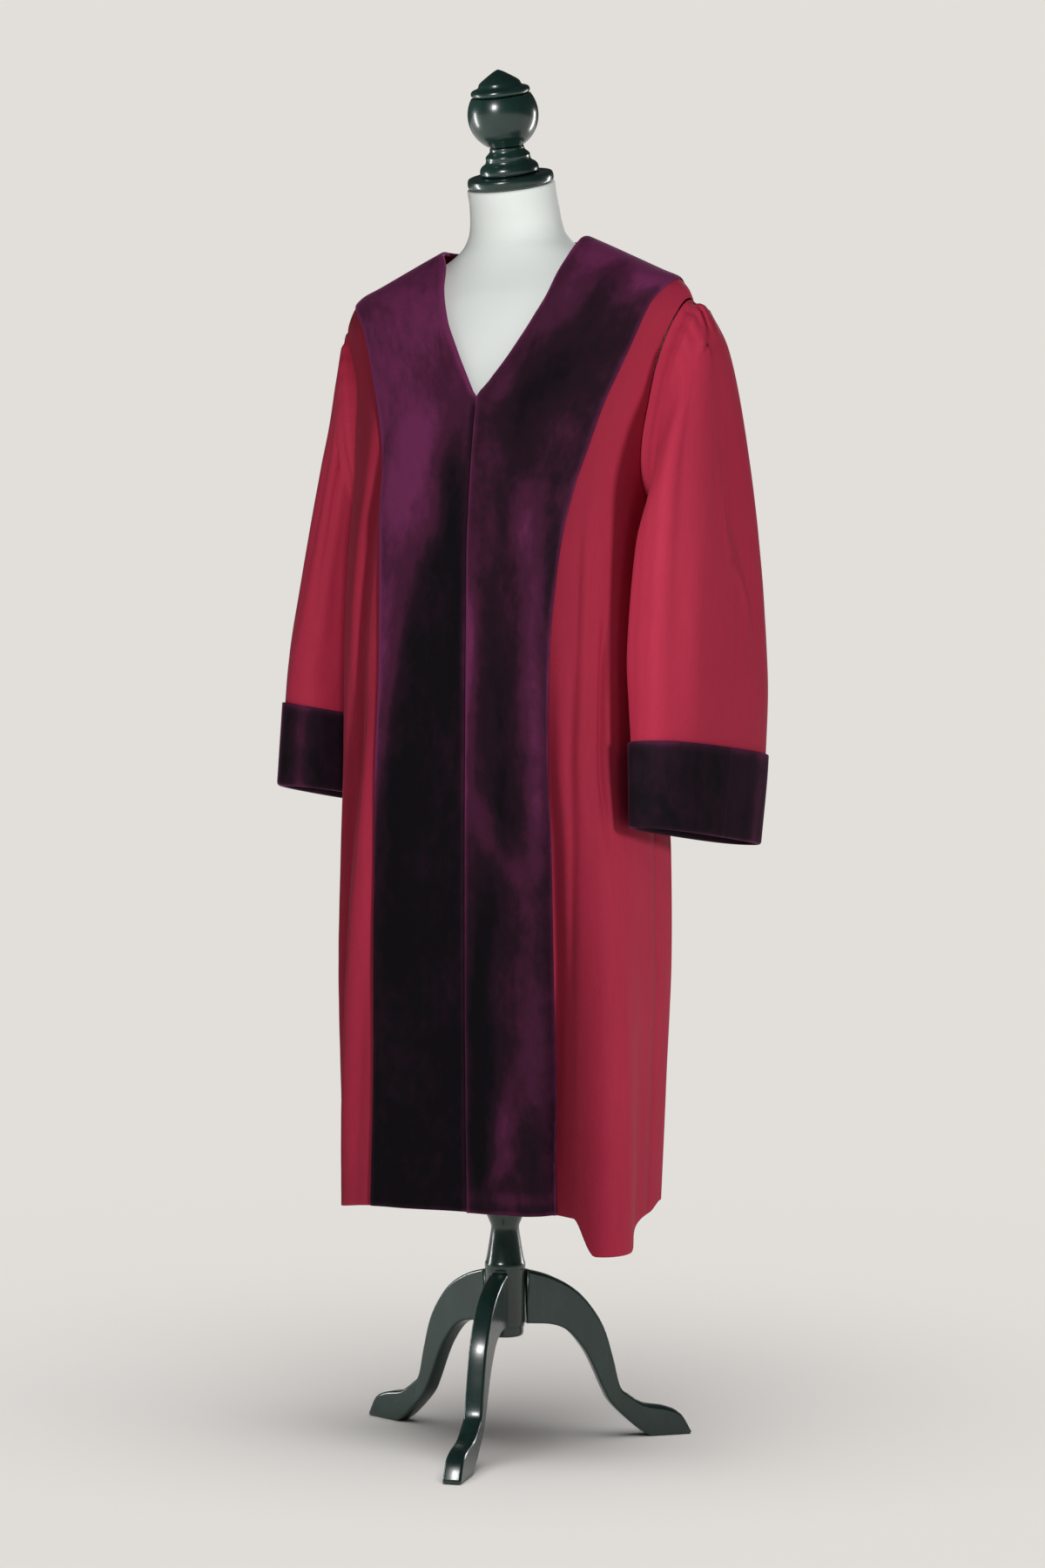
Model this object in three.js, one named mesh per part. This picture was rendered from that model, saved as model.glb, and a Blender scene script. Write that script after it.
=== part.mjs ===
// A judge's robe worn on a limbless dress form with a turned column and three cut legs.
// Millimetres, +Z up. The wearer faces -Y and the wearer's left is +X.
// Everything is worked out about the column axis and then moved so that the
// origin lies under the middle of the whole object, on the floor.
import * as THREE from "three";

// ---------------------------------------------------------------- sizes
const WOOL = 2; // wall of the red cloth
const PILE = 2.6; // wall of the velvet with its backing
const GAP = 0.4; // between pieces that lie on or against each other
const NECK_Z = 1489; // shoulder seam at the neck
const V_Z = 1286; // bottom of the V neck
const HEM_Z = 304; // level of the hem
const LAP = 22; // how far the right front runs under the left one
const LAP_LIFT = WOOL + PILE + 3.5 * GAP; // height of the upper front over the lower one
const SHOULDER_DROP = 12; // how much lower the wearer's right shoulder is
const CUFF_STAND = 1.2; // how far a cuff stands off its sleeve
const FORM_BOTTOM_Z = 780;
const LEG_THICK = 23;
const LEG_TURN = [9.6, 129.6, -110.4]; // degrees from the front, towards the wearer's left

// Rings of the robe's body: half width on the wearer's left and right, the depth
// line yc, front and back depth at the middle, and the squareness of the section.
const BODY = rows(
  ["z", "aL", "aR", "yc", "yf", "yb", "p"],
  [
    [1489, 95, 95, 38, -22, 92, 1.9],
    [1475, 126, 126, 40, -32, 99, 1.9],
    [1460, 158, 158, 42, -42, 104, 1.9],
    [1445, 190, 190, 44, -52, 110, 1.9],
    [1434, 214, 214, 45, -58, 114, 1.9],
    [1420, 226, 226, 44, -63, 118, 1.95],
    [1395, 233, 232, 42, -69, 124, 2.0],
    [1360, 228, 228, 38, -75, 128, 2.05],
    [1320, 217, 218, 35, -83, 130, 2.2],
    [1286, 207, 209, 32, -91, 130, 2.35],
    [1240, 196, 201, 29, -100, 128, 2.6],
    [1180, 188, 196, 26, -110, 124, 2.9],
    [1100, 185, 195, 23, -122, 120, 3.3],
    [1000, 184, 195, 21, -127, 118, 3.6],
    [860, 184, 195, 20, -129, 116, 3.7],
    [730, 193, 198, 20, -130, 120, 3.8],
    [600, 195, 202, 20, -130, 120, 3.8],
    [450, 190, 204, 20, -128, 120, 3.7],
    [304, 184, 207, 20, -124, 120, 3.5],
  ],
);

// The robe's lengthwise lines on each front, by height: the inner edge (V neck and
// front edge) and the outer edge of the velvet band, as distances from the middle.
const BAND_L = rows(
  ["z", "inner", "outer"],
  [
    [1489, 95, 214],
    [1478, 97, 212],
    [1463, 96, 210],
    [1440, 92, 208.5],
    [1417, 86, 203.5],
    [1385, 70, 193],
    [1355, 52.5, 183],
    [1331, 38, 175],
    [1307, 23.5, 166.5],
    [1286, 9, 159.5],
    [1260, 9, 152.5],
    [1224, 9, 144],
    [1177, 9, 133],
    [1118, 9, 124.5],
    [1059, 9, 119],
    [986, 9, 114.5],
    [883, 9, 112.5],
    [718, 9, 113.5],
    [477, 9, 116],
    [304, 9, 120.5],
  ],
);
const BAND_R = rows(
  ["z", "inner", "outer"],
  [
    [1489, 95, 214],
    [1478, 78, 212],
    [1463, 67, 210],
    [1436, 59, 208],
    [1410, 52, 190],
    [1386, 45, 174],
    [1360, 34, 164],
    [1334, 22, 155],
    [1307, 8, 146],
    [1292, 0, 141],
    [1286, -3, 139.5],
    [1260, -3, 134.5],
    [1194, -3, 124],
    [1103, -3, 112.5],
    [967, -3, 109.5],
    [826, -3, 113],
    [715, -3, 115],
    [467, -3, 117],
    [304, -3, 124],
  ],
);

// Folds down the body. at: degrees round from the centre front (left positive),
// wide: half width in degrees, deep: height of the ridge at the hem (a trough is
// negative), from and full: the heights where it starts and is whole.
const FOLD = rows(
  ["at", "wide", "deep", "from", "full"],
  [
    [54, 19, 38, 900, 320],
    [26, 8, -13, 900, 420],
    [80, 10, -9, 1100, 560],
    [96, 11, 7, 1000, 420],
    [-36, 9, -14, 1180, 620],
    [-50, 10, 8, 1180, 620],
    [-78, 12, -9, 1000, 420],
    [-104, 13, 9, 1050, 420],
    [124, 11, -12, 1050, 420],
    [146, 12, 12, 1150, 420],
    [166, 10, -10, 1100, 420],
    [-172, 12, 12, 1150, 420],
    [-150, 11, -12, 1100, 420],
    [-130, 12, 10, 1050, 420],
  ],
);
// How far the hem hangs lower: at the big fold on the wearer's left, and at the right side.
const HEM_DROP = { from: 34, front: 50, back: 68, to: 102, deep: 43, right: 9 };

// Armhole: an upright oval on the body's side.
// ease: how far its front edge runs back at chest height, on the wearer's left.
const ARMHOLE = { z: 1283, y: 30, tall: 129, deep: 63, ease: 18 };

// Sleeves, from armhole to hem. Outer and inner side of each ring (distance from the
// middle and height), its depth line, half depth to the front and back, twist in
// degrees (front towards the middle is negative), and squareness.
const SLEEVE_L = rows(
  ["t", "ox", "oz", "ix", "iz", "y", "f", "b", "twist", "p"],
  [
    [0.07, 256, 1397, 202, 1152, 29, 66, 64, 0, 2.0],
    [0.15, 277, 1356, 202, 1138, 28, 80, 73, -1, 2.15],
    [0.25, 286, 1300, 200, 1112, 26, 98, 84, -3, 2.5],
    [0.36, 292, 1232, 198, 1076, 24, 110, 94, -6, 2.75],
    [0.48, 298, 1150, 198, 1024, 21, 114, 102, -9, 2.85],
    [0.61, 301, 1060, 199, 962, 20, 116, 108, -12, 2.85],
    [0.74, 300, 954, 204, 914, 19, 115, 114, -14, 2.75],
    [0.87, 292, 857, 209, 854, 18, 112, 116, -14, 2.65],
    [1.0, 282, 760, 211, 761, 17, 110, 115, -13, 2.6],
  ],
);
const SLEEVE_R = rows(
  ["t", "ox", "oz", "ix", "iz", "y", "f", "b", "twist", "p"],
  [
    [0.07, 229, 1396, 204, 1152, 38, 59, 62, 0, 2.0],
    [0.15, 236, 1354, 207, 1138, 41, 61, 68, 1, 2.0],
    [0.25, 243, 1300, 209, 1112, 45, 66, 76, 2, 2.0],
    [0.36, 253, 1236, 211, 1076, 49, 74, 84, 3, 2.1],
    [0.48, 266, 1156, 212, 1028, 52, 84, 92, 4, 2.2],
    [0.61, 278, 1072, 213, 970, 54, 94, 98, 5, 2.3],
    [0.74, 290, 978, 214, 938, 56, 102, 104, 6, 2.4],
    [0.87, 295, 893, 215, 884, 57, 108, 108, 6, 2.5],
    [1.0, 301, 802, 216, 798, 58, 112, 110, 6, 2.5],
  ],
);
const CUFF_TALL = 103; // height of a cuff
const CUFF_UNDER = 3; // how far it runs below the sleeve's own hem
const CUFF_TILT = 0.14; // fall of the cuff towards the back, per millimetre
// The pleat at each sleeve head, as a step across the sleeve. at: degrees round the
// ring from the outer side towards the front; until: the share of the sleeve it reaches.
const PLEAT = { at: 18, deep: 11, until: 0.72 };

// The dress form: half width, depth line, front and back depth, squareness.
const FORM = rows(
  ["z", "a", "yc", "yf", "yb", "p"],
  [
    [780, 150, 20, -82, 96, 2.2],
    [880, 158, 20, -88, 108, 2.2],
    [980, 150, 18, -86, 92, 2.2],
    [1060, 140, 18, -82, 82, 2.2],
    [1160, 152, 22, -88, 96, 2.2],
    [1240, 168, 28, -92, 112, 2.2],
    [1286, 176, 30, -86, 118, 2.15],
    [1320, 186, 34, -78, 118, 2.05],
    [1360, 205, 37, -69.5, 115, 1.95],
    [1395, 214, 41, -60, 111, 1.9],
    [1418, 208, 43, -52, 106, 1.9],
    [1434, 188, 43, -44, 100, 1.9],
    [1448, 156, 42, -37, 95, 1.9],
    [1462, 124, 40, -31, 89, 1.9],
    [1476, 94, 38, -26, 84, 1.95],
    [1490, 71, 38, -22, 86, 2.0],
    [1506, 60, 35, -21, 87, 2.0],
    [1526, 56, 29, -27, 85, 2.0],
    [1546, 54.5, 22, -33, 77, 2.0],
    [1558, 54.5, 18, -36.5, 72.5, 2.0],
  ],
);
const NECK_TILT = 16; // degrees that the neck cap and finial lean to the front
const NECK_TOP = { y: 18, z: 1558 }; // middle of the form's neck under the disc

// Turned profiles: distance from the axis and height over the disc's underside.
const DISC = [
  [0, 0],
  [50, 0],
  [53.5, 2],
  [54, 7],
  [53, 12],
  [50, 13.5],
  [38, 14],
  [0, 14],
];
const FINIAL_BASE = [
  [0, 0],
  [36, 0],
  [37, 3],
  [36.5, 8],
  [34, 12],
  [28.5, 15],
  [27.5, 20],
  [28, 23],
  [25, 26],
  [21.5, 29],
  [21.5, 35],
  [0, 35],
];
const FINIAL_TOP = [
  [0, 0],
  [33, 0],
  [36.5, 2],
  [37, 5],
  [35.5, 8.5],
  [28, 10.5],
  [26.5, 13],
  [25, 17],
  [13, 25],
  [5, 30],
  [0, 32],
];
const BALL = { r: 44, low: 37.8, high: 24 }; // radius, and its flats under and over the middle
const COLUMN = [
  [0, 133],
  [20, 133],
  [23, 136],
  [23, 144],
  [24.5, 147],
  [24.5, 216],
  [25, 217],
  [25.5, 220],
  [25, 224],
  [24, 226],
  [22, 236],
  [18.5, 258],
  [17.4, 266],
  [17.4, 270],
  [20, 276],
  [23.5, 284],
  [24.5, 292],
  [22, 300],
  [18, 306],
  [17, 340],
  [17, FORM_BOTTOM_Z - GAP],
  [0, FORM_BOTTOM_Z - GAP],
];
// A leg's outline in its own plane, from the hub outwards: top line, then underside.
const LEG_TOP_LINE = [
  [25.5, 214],
  [56, 205],
  [86, 189],
  [107, 168],
  [125, 139],
  [137, 100],
  [146, 65],
  [158, 53],
  [179, 40],
  [208, 34],
  [226, 25],
  [239, 3],
];
const LEG_UNDER_LINE = [
  [237, 0],
  [185, 0],
  [167, 12],
  [137, 40],
  [125, 60],
  [110, 93],
  [98, 114],
  [80, 135],
  [59, 145],
  [25.5, 148],
];

// ---------------------------------------------------------------- colours
const cloth = (color, roughness) =>
  new THREE.MeshStandardMaterial({ color, roughness, metalness: 0 });
const WOOL_RED = cloth(0x9c2f49, 0.85);
const VELVET = cloth(0x4a1a3c, 0.95);
const JERSEY = cloth(0xdce2df, 0.9);
const WOOD = cloth(0x1e322e, 0.3);

// ---------------------------------------------------------------- helpers
function rows(names, values) {
  return values.map((v) =>
    Object.fromEntries(names.map((n, i) => [n, v[i]])),
  );
}

// Smooth reading of a table at a key, without overshoot (monotone cubic).
function reader(table, key) {
  const t = [...table].sort((a, b) => a[key] - b[key]);
  const x = t.map((r) => r[key]);
  const names = Object.keys(t[0]).filter((n) => n !== key);
  const slopes = {};
  for (const n of names) {
    const y = t.map((r) => r[n]);
    const d = y.slice(1).map((v, i) => (v - y[i]) / (x[i + 1] - x[i]));
    slopes[n] = y.map((_, i) => {
      if (i === 0) return d[0];
      if (i === y.length - 1) return d[d.length - 1];
      if (d[i - 1] * d[i] <= 0) return 0;
      const h0 = x[i] - x[i - 1],
        h1 = x[i + 1] - x[i];
      const w1 = 2 * h1 + h0,
        w2 = h1 + 2 * h0;
      return (w1 + w2) / (w1 / d[i - 1] + w2 / d[i]);
    });
  }
  return (k) => {
    const q = Math.min(Math.max(k, x[0]), x[x.length - 1]);
    let i = 0;
    while (i < x.length - 2 && q > x[i + 1]) i++;
    const h = x[i + 1] - x[i],
      u = (q - x[i]) / h;
    const out = {};
    for (const n of names) {
      const y0 = t[i][n],
        y1 = t[i + 1][n],
        m0 = slopes[n][i] * h,
        m1 = slopes[n][i + 1] * h;
      out[n] =
        y0 * (1 + 2 * u) * (1 - u) ** 2 +
        m0 * u * (1 - u) ** 2 +
        y1 * u * u * (3 - 2 * u) +
        m1 * u * u * (u - 1);
    }
    return out;
  };
}
const smooth = (a, b, v) => {
  const u = Math.min(Math.max((v - a) / (b - a), 0), 1);
  return u * u * (3 - 2 * u);
};
const mix = (a, b, u) => a + (b - a) * u;
const rad = (d) => (d * Math.PI) / 180;
const bump = (d, w) => (Math.abs(d) >= w ? 0 : (1 - (d / w) ** 2) ** 2);

const bodyAt = reader(BODY, "z");
const bandOf = (side) => (side > 0 ? leftBandAt : rightBandAt);
const leftBandAt = reader(BAND_L, "z"),
  rightBandAt = reader(BAND_R, "z");
const formAt = reader(FORM, "z");

// A point of a ring: side is +1 on the wearer's left, angle from the centre front.
function ringPoint(r, a, angle) {
  const s = Math.abs(Math.sin(angle)) ** (2 / r.p),
    c = Math.cos(angle);
  const k = Math.abs(c) ** (2 / r.p);
  const depth = c > 0 ? r.yc - r.yf : r.yb - r.yc;
  return [a * s, r.yc - Math.sign(c) * depth * k];
}
const angleOfX = (r, a, x) =>
  Math.asin(Math.min(Math.abs(x) / a, 1) ** (r.p / 2));

// Height of the ridge (shoulder seam) at a distance from the middle.
function ridgeZ(x) {
  let lo = 1395,
    hi = NECK_Z;
  for (let i = 0; i < 40; i++) {
    const m = (lo + hi) / 2;
    if (bodyAt(m).aL > x) lo = m;
    else hi = m;
  }
  return (lo + hi) / 2;
}

// The wearer's right shoulder hangs a little lower than the left.
function settle(p) {
  const k =
    smooth(1150, 1430, p.z) * (1 - smooth(1490, 1535, p.z)) * smooth(5, 90, -p.x);
  p.z -= SHOULDER_DROP * k;
  return p;
}

// The sum of the folds at an angle (degrees, left positive) and height.
function foldAt(deg, z) {
  let sum = 0;
  for (const f of FOLD) {
    const grow = smooth(f.from, f.full, z);
    if (grow <= 0) continue;
    let d = deg - f.at;
    d -= 360 * Math.round(d / 360);
    sum += f.deep * grow * bump(d, f.wide * 1.6);
  }
  return sum;
}
const hemDrop = (deg) =>
  HEM_DROP.deep *
    smooth(HEM_DROP.from, HEM_DROP.front, deg) *
    (1 - smooth(HEM_DROP.back, HEM_DROP.to, deg)) +
  HEM_DROP.right * smooth(15, 60, -deg) * (1 - smooth(110, 170, -deg));
const hemFall = (side, angle, q) =>
  hemDrop((side * angle * 180) / Math.PI) * smooth(0.5, 1, q);

// The body's surface: side +1 or -1, angle from the centre front, height, lift.
function bodyPoint(side, angle, z, lift = 0) {
  const r = bodyAt(z);
  const a = side > 0 ? r.aL : r.aR;
  const [x, y] = ringPoint(r, a, angle);
  const e = 0.01;
  const [x1, y1] = ringPoint(r, a, Math.min(angle + e, Math.PI - 1e-6));
  const [x0, y0] = ringPoint(r, a, Math.max(angle - e, 1e-6));
  let nx = -(y1 - y0),
    ny = x1 - x0;
  const n = Math.hypot(nx, ny) || 1;
  nx /= -n;
  ny /= -n;
  // outward is away from the depth line
  if (nx * x + ny * (y - r.yc) < 0) {
    nx = -nx;
    ny = -ny;
  }
  const deg = (side * angle * 180) / Math.PI;
  const d = foldAt(deg, z) + lift;
  return new THREE.Vector3(side * (x + nx * d), y + ny * d, z);
}

// ---------------------------------------------------------------- closed meshes
// A grid of points [row][column] thickened outwards into one closed wall. With
// wrap the columns close into a tube. The sign says which way the grid faces.
// part picks rows and columns [first row, last row, first column, last column] of
// the grid, whose normals still come from the whole of it.
function wall(whole, thick, { wrap = false, flip = false, base = 0, part } = {}) {
  whole = whole.map((r) => r.map((p) => settle(p.clone())));
  const WR = whole.length,
    WC = whole[0].length;
  const [r0, r1, c0, c1] = part || [0, WR - 1, 0, WC - 1];
  const grid = whole.slice(r0, r1 + 1).map((r) => r.slice(c0, c1 + 1));
  const R = grid.length,
    C = grid[0].length;
  const at = (i, j) =>
    whole[Math.min(Math.max(i + r0, 0), WR - 1)][
      wrap ? (j + C) % C : Math.min(Math.max(j + c0, 0), WC - 1)
    ];
  const normal = (i, j) => {
    const du = at(i, j + 1).clone().sub(at(i, j - 1));
    const dv = at(i + 1, j).clone().sub(at(i - 1, j));
    if (du.lengthSq() < 1e-9) du.copy(at(i + 1, j + 1).clone().sub(at(i + 1, j - 1)));
    const n = du.cross(dv).normalize();
    return flip ? n.negate() : n;
  };
  const inner = [],
    outer = [];
  for (let i = 0; i < R; i++)
    for (let j = 0; j < C; j++) {
      const n = normal(i, j),
        p = grid[i][j].clone();
      inner.push(p.clone().addScaledVector(n, base));
      outer.push(p.clone().addScaledVector(n, base + thick));
    }
  const pos = [...inner, ...outer];
  const N = inner.length,
    id = (i, j) => i * C + (wrap ? j % C : j);
  const tri = [];
  const flat = grid.flat();
  const near = (i, k) => {
    const P = i % N,
      Q = k % N;
    return P === Q ? pos[i].distanceTo(pos[k]) : flat[P].distanceTo(flat[Q]);
  };
  const quad = (a, b, c, d) => {
    const cut = near(a, c) <= near(b, d) + 1e-6;
    if (cut) tri.push(a, b, c, a, c, d);
    else tri.push(a, b, d, b, c, d);
  };
  const cols = wrap ? C : C - 1;
  for (let i = 0; i < R - 1; i++)
    for (let j = 0; j < cols; j++) {
      const a = id(i, j),
        b = id(i, j + 1),
        c = id(i + 1, j + 1),
        d = id(i + 1, j);
      quad(a, d, c, b);
      quad(N + a, N + b, N + c, N + d);
    }
  for (let j = 0; j < cols; j++) {
    quad(id(0, j), id(0, j + 1), N + id(0, j + 1), N + id(0, j));
    const a = id(R - 1, j),
      b = id(R - 1, j + 1);
    quad(b, a, N + a, N + b);
  }
  if (!wrap)
    for (let i = 0; i < R - 1; i++) {
      quad(id(i + 1, 0), id(i, 0), N + id(i, 0), N + id(i + 1, 0));
      const a = id(i, C - 1),
        b = id(i + 1, C - 1);
      quad(a, b, N + b, N + a);
    }
  return closed(pos, tri);
}
function closed(pos, tri) {
  const g = new THREE.BufferGeometry();
  g.setAttribute(
    "position",
    new THREE.Float32BufferAttribute(pos.flatMap((p) => [p.x, p.y, p.z]), 3),
  );
  g.setIndex(tri);
  let v = 0;
  for (let i = 0; i < tri.length; i += 3) {
    const [a, b, c] = [pos[tri[i]], pos[tri[i + 1]], pos[tri[i + 2]]];
    v += a.dot(b.clone().cross(c));
  }
  if (v < 0)
    for (let i = 0; i < tri.length; i += 3)
      [tri[i + 1], tri[i + 2]] = [tri[i + 2], tri[i + 1]];
  g.setIndex(tri);
  g.computeVertexNormals();
  return g;
}
// A stack of closed rings with both ends filled from a middle point.
function stack(rings) {
  const C = rings[0].length,
    pos = rings.flat(),
    tri = [];
  for (let i = 0; i < rings.length - 1; i++)
    for (let j = 0; j < C; j++) {
      const a = i * C + j,
        b = i * C + ((j + 1) % C);
      tri.push(a, b, b + C, a, b + C, a + C);
    }
  for (const [i, turn] of [
    [0, 1],
    [rings.length - 1, 0],
  ]) {
    const mid = rings[i]
      .reduce((s, p) => s.add(p), new THREE.Vector3())
      .divideScalar(C);
    const m = pos.push(mid) - 1;
    for (let j = 0; j < C; j++) {
      const a = i * C + j,
        b = i * C + ((j + 1) % C);
      if (turn) tri.push(m, b, a);
      else tri.push(m, a, b);
    }
  }
  return closed(pos, tri);
}
const parts = new THREE.Group();
function piece(name, geometry, material) {
  const mesh = new THREE.Mesh(geometry, material);
  mesh.name = name;
  parts.add(mesh);
  return mesh;
}

// ---------------------------------------------------------------- fronts
// Shares of the way from the shoulder seam to the hem: the rows of every panel.
const FULL = NECK_Z - HEM_Z;
const V_SHARE = (NECK_Z - V_Z) / FULL;
const SHARES = [
  0,
  0.002,
  0.008,
  0.018,
  0.034,
  0.058,
  0.09,
  0.13,
  V_SHARE,
  0.21,
  0.26,
  0.32,
  0.39,
  0.46,
  0.53,
  0.6,
  0.67,
  0.74,
  0.81,
  0.87,
  0.92,
  0.96,
  1,
];
const BAND_COLUMNS = 7,
  SIDE_COLUMNS = 9;

// The armhole at an angle round it, 0 at the shoulder and 180 at the underarm: a
// point on the body's side and its height, towards the front (+1) or back (-1).
const holeY = (side, z, s, towards) =>
  ARMHOLE.y +
  12 * smooth(1300, 1412, z) -
  towards * ARMHOLE.deep * s +
  (towards > 0 && side > 0 ? ARMHOLE.ease * bump(z - 1300, 120) : 0);
function armhole(side, deg, towards) {
  const c = Math.cos(rad(deg)),
    s = Math.sin(rad(deg));
  const z = ARMHOLE.z + ARMHOLE.tall * c;
  return { z, y: holeY(side, z, s, towards) };
}
// The angle on the body's ring at height z of a depth y.
function angleOfY(r, y) {
  if (y < r.yc) {
    const u = Math.min((r.yc - y) / (r.yc - r.yf), 1);
    return Math.acos(u ** (r.p / 2));
  }
  const u = Math.min((y - r.yc) / (r.yb - r.yc), 1);
  return Math.PI - Math.acos(u ** (r.p / 2));
}
// Angle of the front (+1) or back (-1) armhole edge, or of the side seam below it.
function sideEdge(side, z, towards) {
  const r = bodyAt(z);
  const c = (z - ARMHOLE.z) / ARMHOLE.tall;
  if (c <= -1) return Math.PI / 2 - towards * seamAngle(r, towards);
  const s = c >= 1 ? 0 : Math.sqrt(1 - c * c);
  const y = holeY(side, z, s, towards);
  const angle = angleOfY(r, y),
    least = Math.PI / 2 - towards * seamAngle(r, towards);
  return towards > 0 ? Math.min(angle, least) : Math.max(angle, least);
}
// The small angle that keeps half a gap at the side seam.
function seamAngle(r, towards) {
  const depth = towards > 0 ? r.yc - r.yf : r.yb - r.yc;
  return (GAP / 2 / depth) ** (r.p / 2);
}
const ARM_TOP = ARMHOLE.z + ARMHOLE.tall;

// The front as three lengthwise lines: inner edge, velvet's outer edge, side.
function frontGrid(side) {
  const own = side > 0,
    bandAt = bandOf(side);
  // the right front runs on under the left one by the lap
  const innerAt = (z) => {
    const x = bandAt(z).inner;
    return own ? x : x - (LAP + 3) * (1 - smooth(V_Z - 50, V_Z + 12, z));
  };
  const topInner = NECK_Z,
    topBand = ridgeZ(BAND_L[0].outer),
    topSide = ARM_TOP;
  const grid = [];
  for (const q of SHARES) {
    const row = [];
    const zi = topInner - q * (topInner - HEM_Z);
    const zb = topBand - q * (topBand - HEM_Z);
    const zs = topSide - q * (topSide - HEM_Z);
    for (let j = 0; j <= BAND_COLUMNS; j++) {
      const u = j / BAND_COLUMNS;
      const x = mix(innerAt(zi), bandAt(q === 0 ? NECK_Z : zb).outer, u);
      const z = q === 0 ? ridgeZ(Math.max(x, 95)) : mix(zi, zb, u);
      row.push(frontPoint(side, x, z, q === 0));
    }
    const r1 = bodyAt(zb),
      a1 = side > 0 ? r1.aL : r1.aR;
    for (let j = 1; j <= SIDE_COLUMNS; j++) {
      const u = j / SIDE_COLUMNS;
      if (q === 0) {
        const x = mix(BAND_L[0].outer, bodyAt(ARM_TOP).aL, u);
        const z = ridgeZ(x);
        row.push(bodyPoint(side, Math.PI / 2 - 0.004, z));
        continue;
      }
      const z = mix(zb, zs, u);
      const from = angleOfX(r1, a1, bandAt(zb).outer);
      const to = sideEdge(side, zs, 1);
      row.push(bodyPoint(side, mix(from, to, u), z - hemFall(side, mix(from, to, u), q)));
    }
    grid.push(row);
  }
  return grid;
}
// A point of the front at a distance from the middle. The left front is lifted
// over the right one near the middle.
function frontPoint(side, x, z, ridge) {
  const r = bodyAt(z),
    a = side > 0 ? r.aL : r.aR;
  const angle = ridge ? Math.PI / 2 - 0.004 : angleOfX(r, a, x);
  let lift = 0;
  const hollow = 8 * (1 - smooth(8, 90, Math.abs(x))) * (1 - smooth(1000, 1230, z));
  if (side > 0)
    lift = LAP_LIFT * (1 - smooth(30, 62, x)) * (1 - smooth(1300, 1345, z));
  const deg = (side * angle * 180) / Math.PI;
  const q = (NECK_Z - z) / FULL;
  const p = bodyPoint(side, Math.max(angle, 1e-4), z, lift - hollow);
  const sign = x < 0 ? -1 : 1;
  p.x *= sign;
  p.z -= hemDrop(deg) * smooth(0.5, 1, q);
  return p;
}
const fronts = {};
for (const [word, side] of [
  ["left", 1],
  ["right", -1],
]) {
  const grid = frontGrid(side);
  fronts[word] = grid;
  piece("front_" + word, wall(grid, WOOL, { flip: side > 0 }), WOOL_RED);
  piece(
    "velvet_" + word,
    wall(grid, PILE, {
      flip: side > 0,
      base: WOOL + GAP,
      part: [0, SHARES.length - 1, 0, BAND_COLUMNS],
    }),
    VELVET,
  );
}

// ---------------------------------------------------------------- back
const BACK_COLUMNS = 22,
  BACK_BAND_ROWS = 4;
const BACK_NECK_FALL = 1; // how far the neckline dips at the centre back
function backGrid() {
  const grid = [];
  for (const q of SHARES) {
    const row = [];
    for (let j = 0; j <= BACK_COLUMNS; j++) {
      const u = (2 * j) / BACK_COLUMNS - 1; // -1 wearer's right, +1 left
      const side = u < 0 ? -1 : 1,
        w = Math.abs(u);
      row.push(backPoint(side, w, q));
    }
    grid.push(row);
  }
  return grid;
}
// Top line of the back: the neckline to the neck point, then the shoulder seam.
const NECK_W = 0.36; // share of the half back that is neckline
function backPoint(side, w, q) {
  const zSide = ARM_TOP - q * (ARM_TOP - HEM_Z);
  const edge = sideEdge(side, Math.min(zSide, ARM_TOP), -1);
  let zTop, angleTop;
  if (w < NECK_W) {
    const v = w / NECK_W;
    zTop = NECK_Z - BACK_NECK_FALL * (1 - v * v);
    angleTop = mix(Math.PI, Math.PI / 2 + 0.004, v ** 1.4);
  } else {
    const x = mix(95, bodyAt(ARM_TOP).aL, (w - NECK_W) / (1 - NECK_W));
    zTop = ridgeZ(x);
    angleTop = Math.PI / 2 + 0.004;
  }
  const z = zTop - q * (zTop - HEM_Z);
  if (q === 0) return bodyPoint(side, angleTop, z);
  // lower down the columns spread evenly round the back
  const r = bodyAt(z),
    a = side > 0 ? r.aL : r.aR;
  let angle;
  const even = mix(Math.PI, edge, w ** 0.92);
  if (z > 1300) {
    const x = w < NECK_W ? 95 * (w / NECK_W) : mix(95, bodyAt(ARM_TOP).aL, (w - NECK_W) / (1 - NECK_W));
    const edgeX = ringPoint(bodyAt(zSide), side > 0 ? bodyAt(zSide).aL : bodyAt(zSide).aR, edge)[0];
    const xs = Math.min(x * mix(1, edgeX / bodyAt(ARM_TOP).aL, smooth(0, 0.1, q)), a * 0.9999);
    const byX = Math.PI - angleOfX(r, a, xs);
    angle = w === 1 ? edge : mix(byX, even, smooth(0.06, 0.16, q));
  } else angle = even;
  angle = Math.min(angle, Math.PI - 1e-4);
  return bodyPoint(side, angle, z - hemFall(side, angle, q));
}
const back = backGrid();
piece("back", wall(back, WOOL), WOOL_RED);

// The neck band lies on the back's first rows, round the neckline.
piece(
  "velvet_back",
  wall(back, PILE, {
    base: WOOL + GAP,
    part: [0, BACK_BAND_ROWS, 1, BACK_COLUMNS - 1],
  }),
  VELVET,
);

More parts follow.
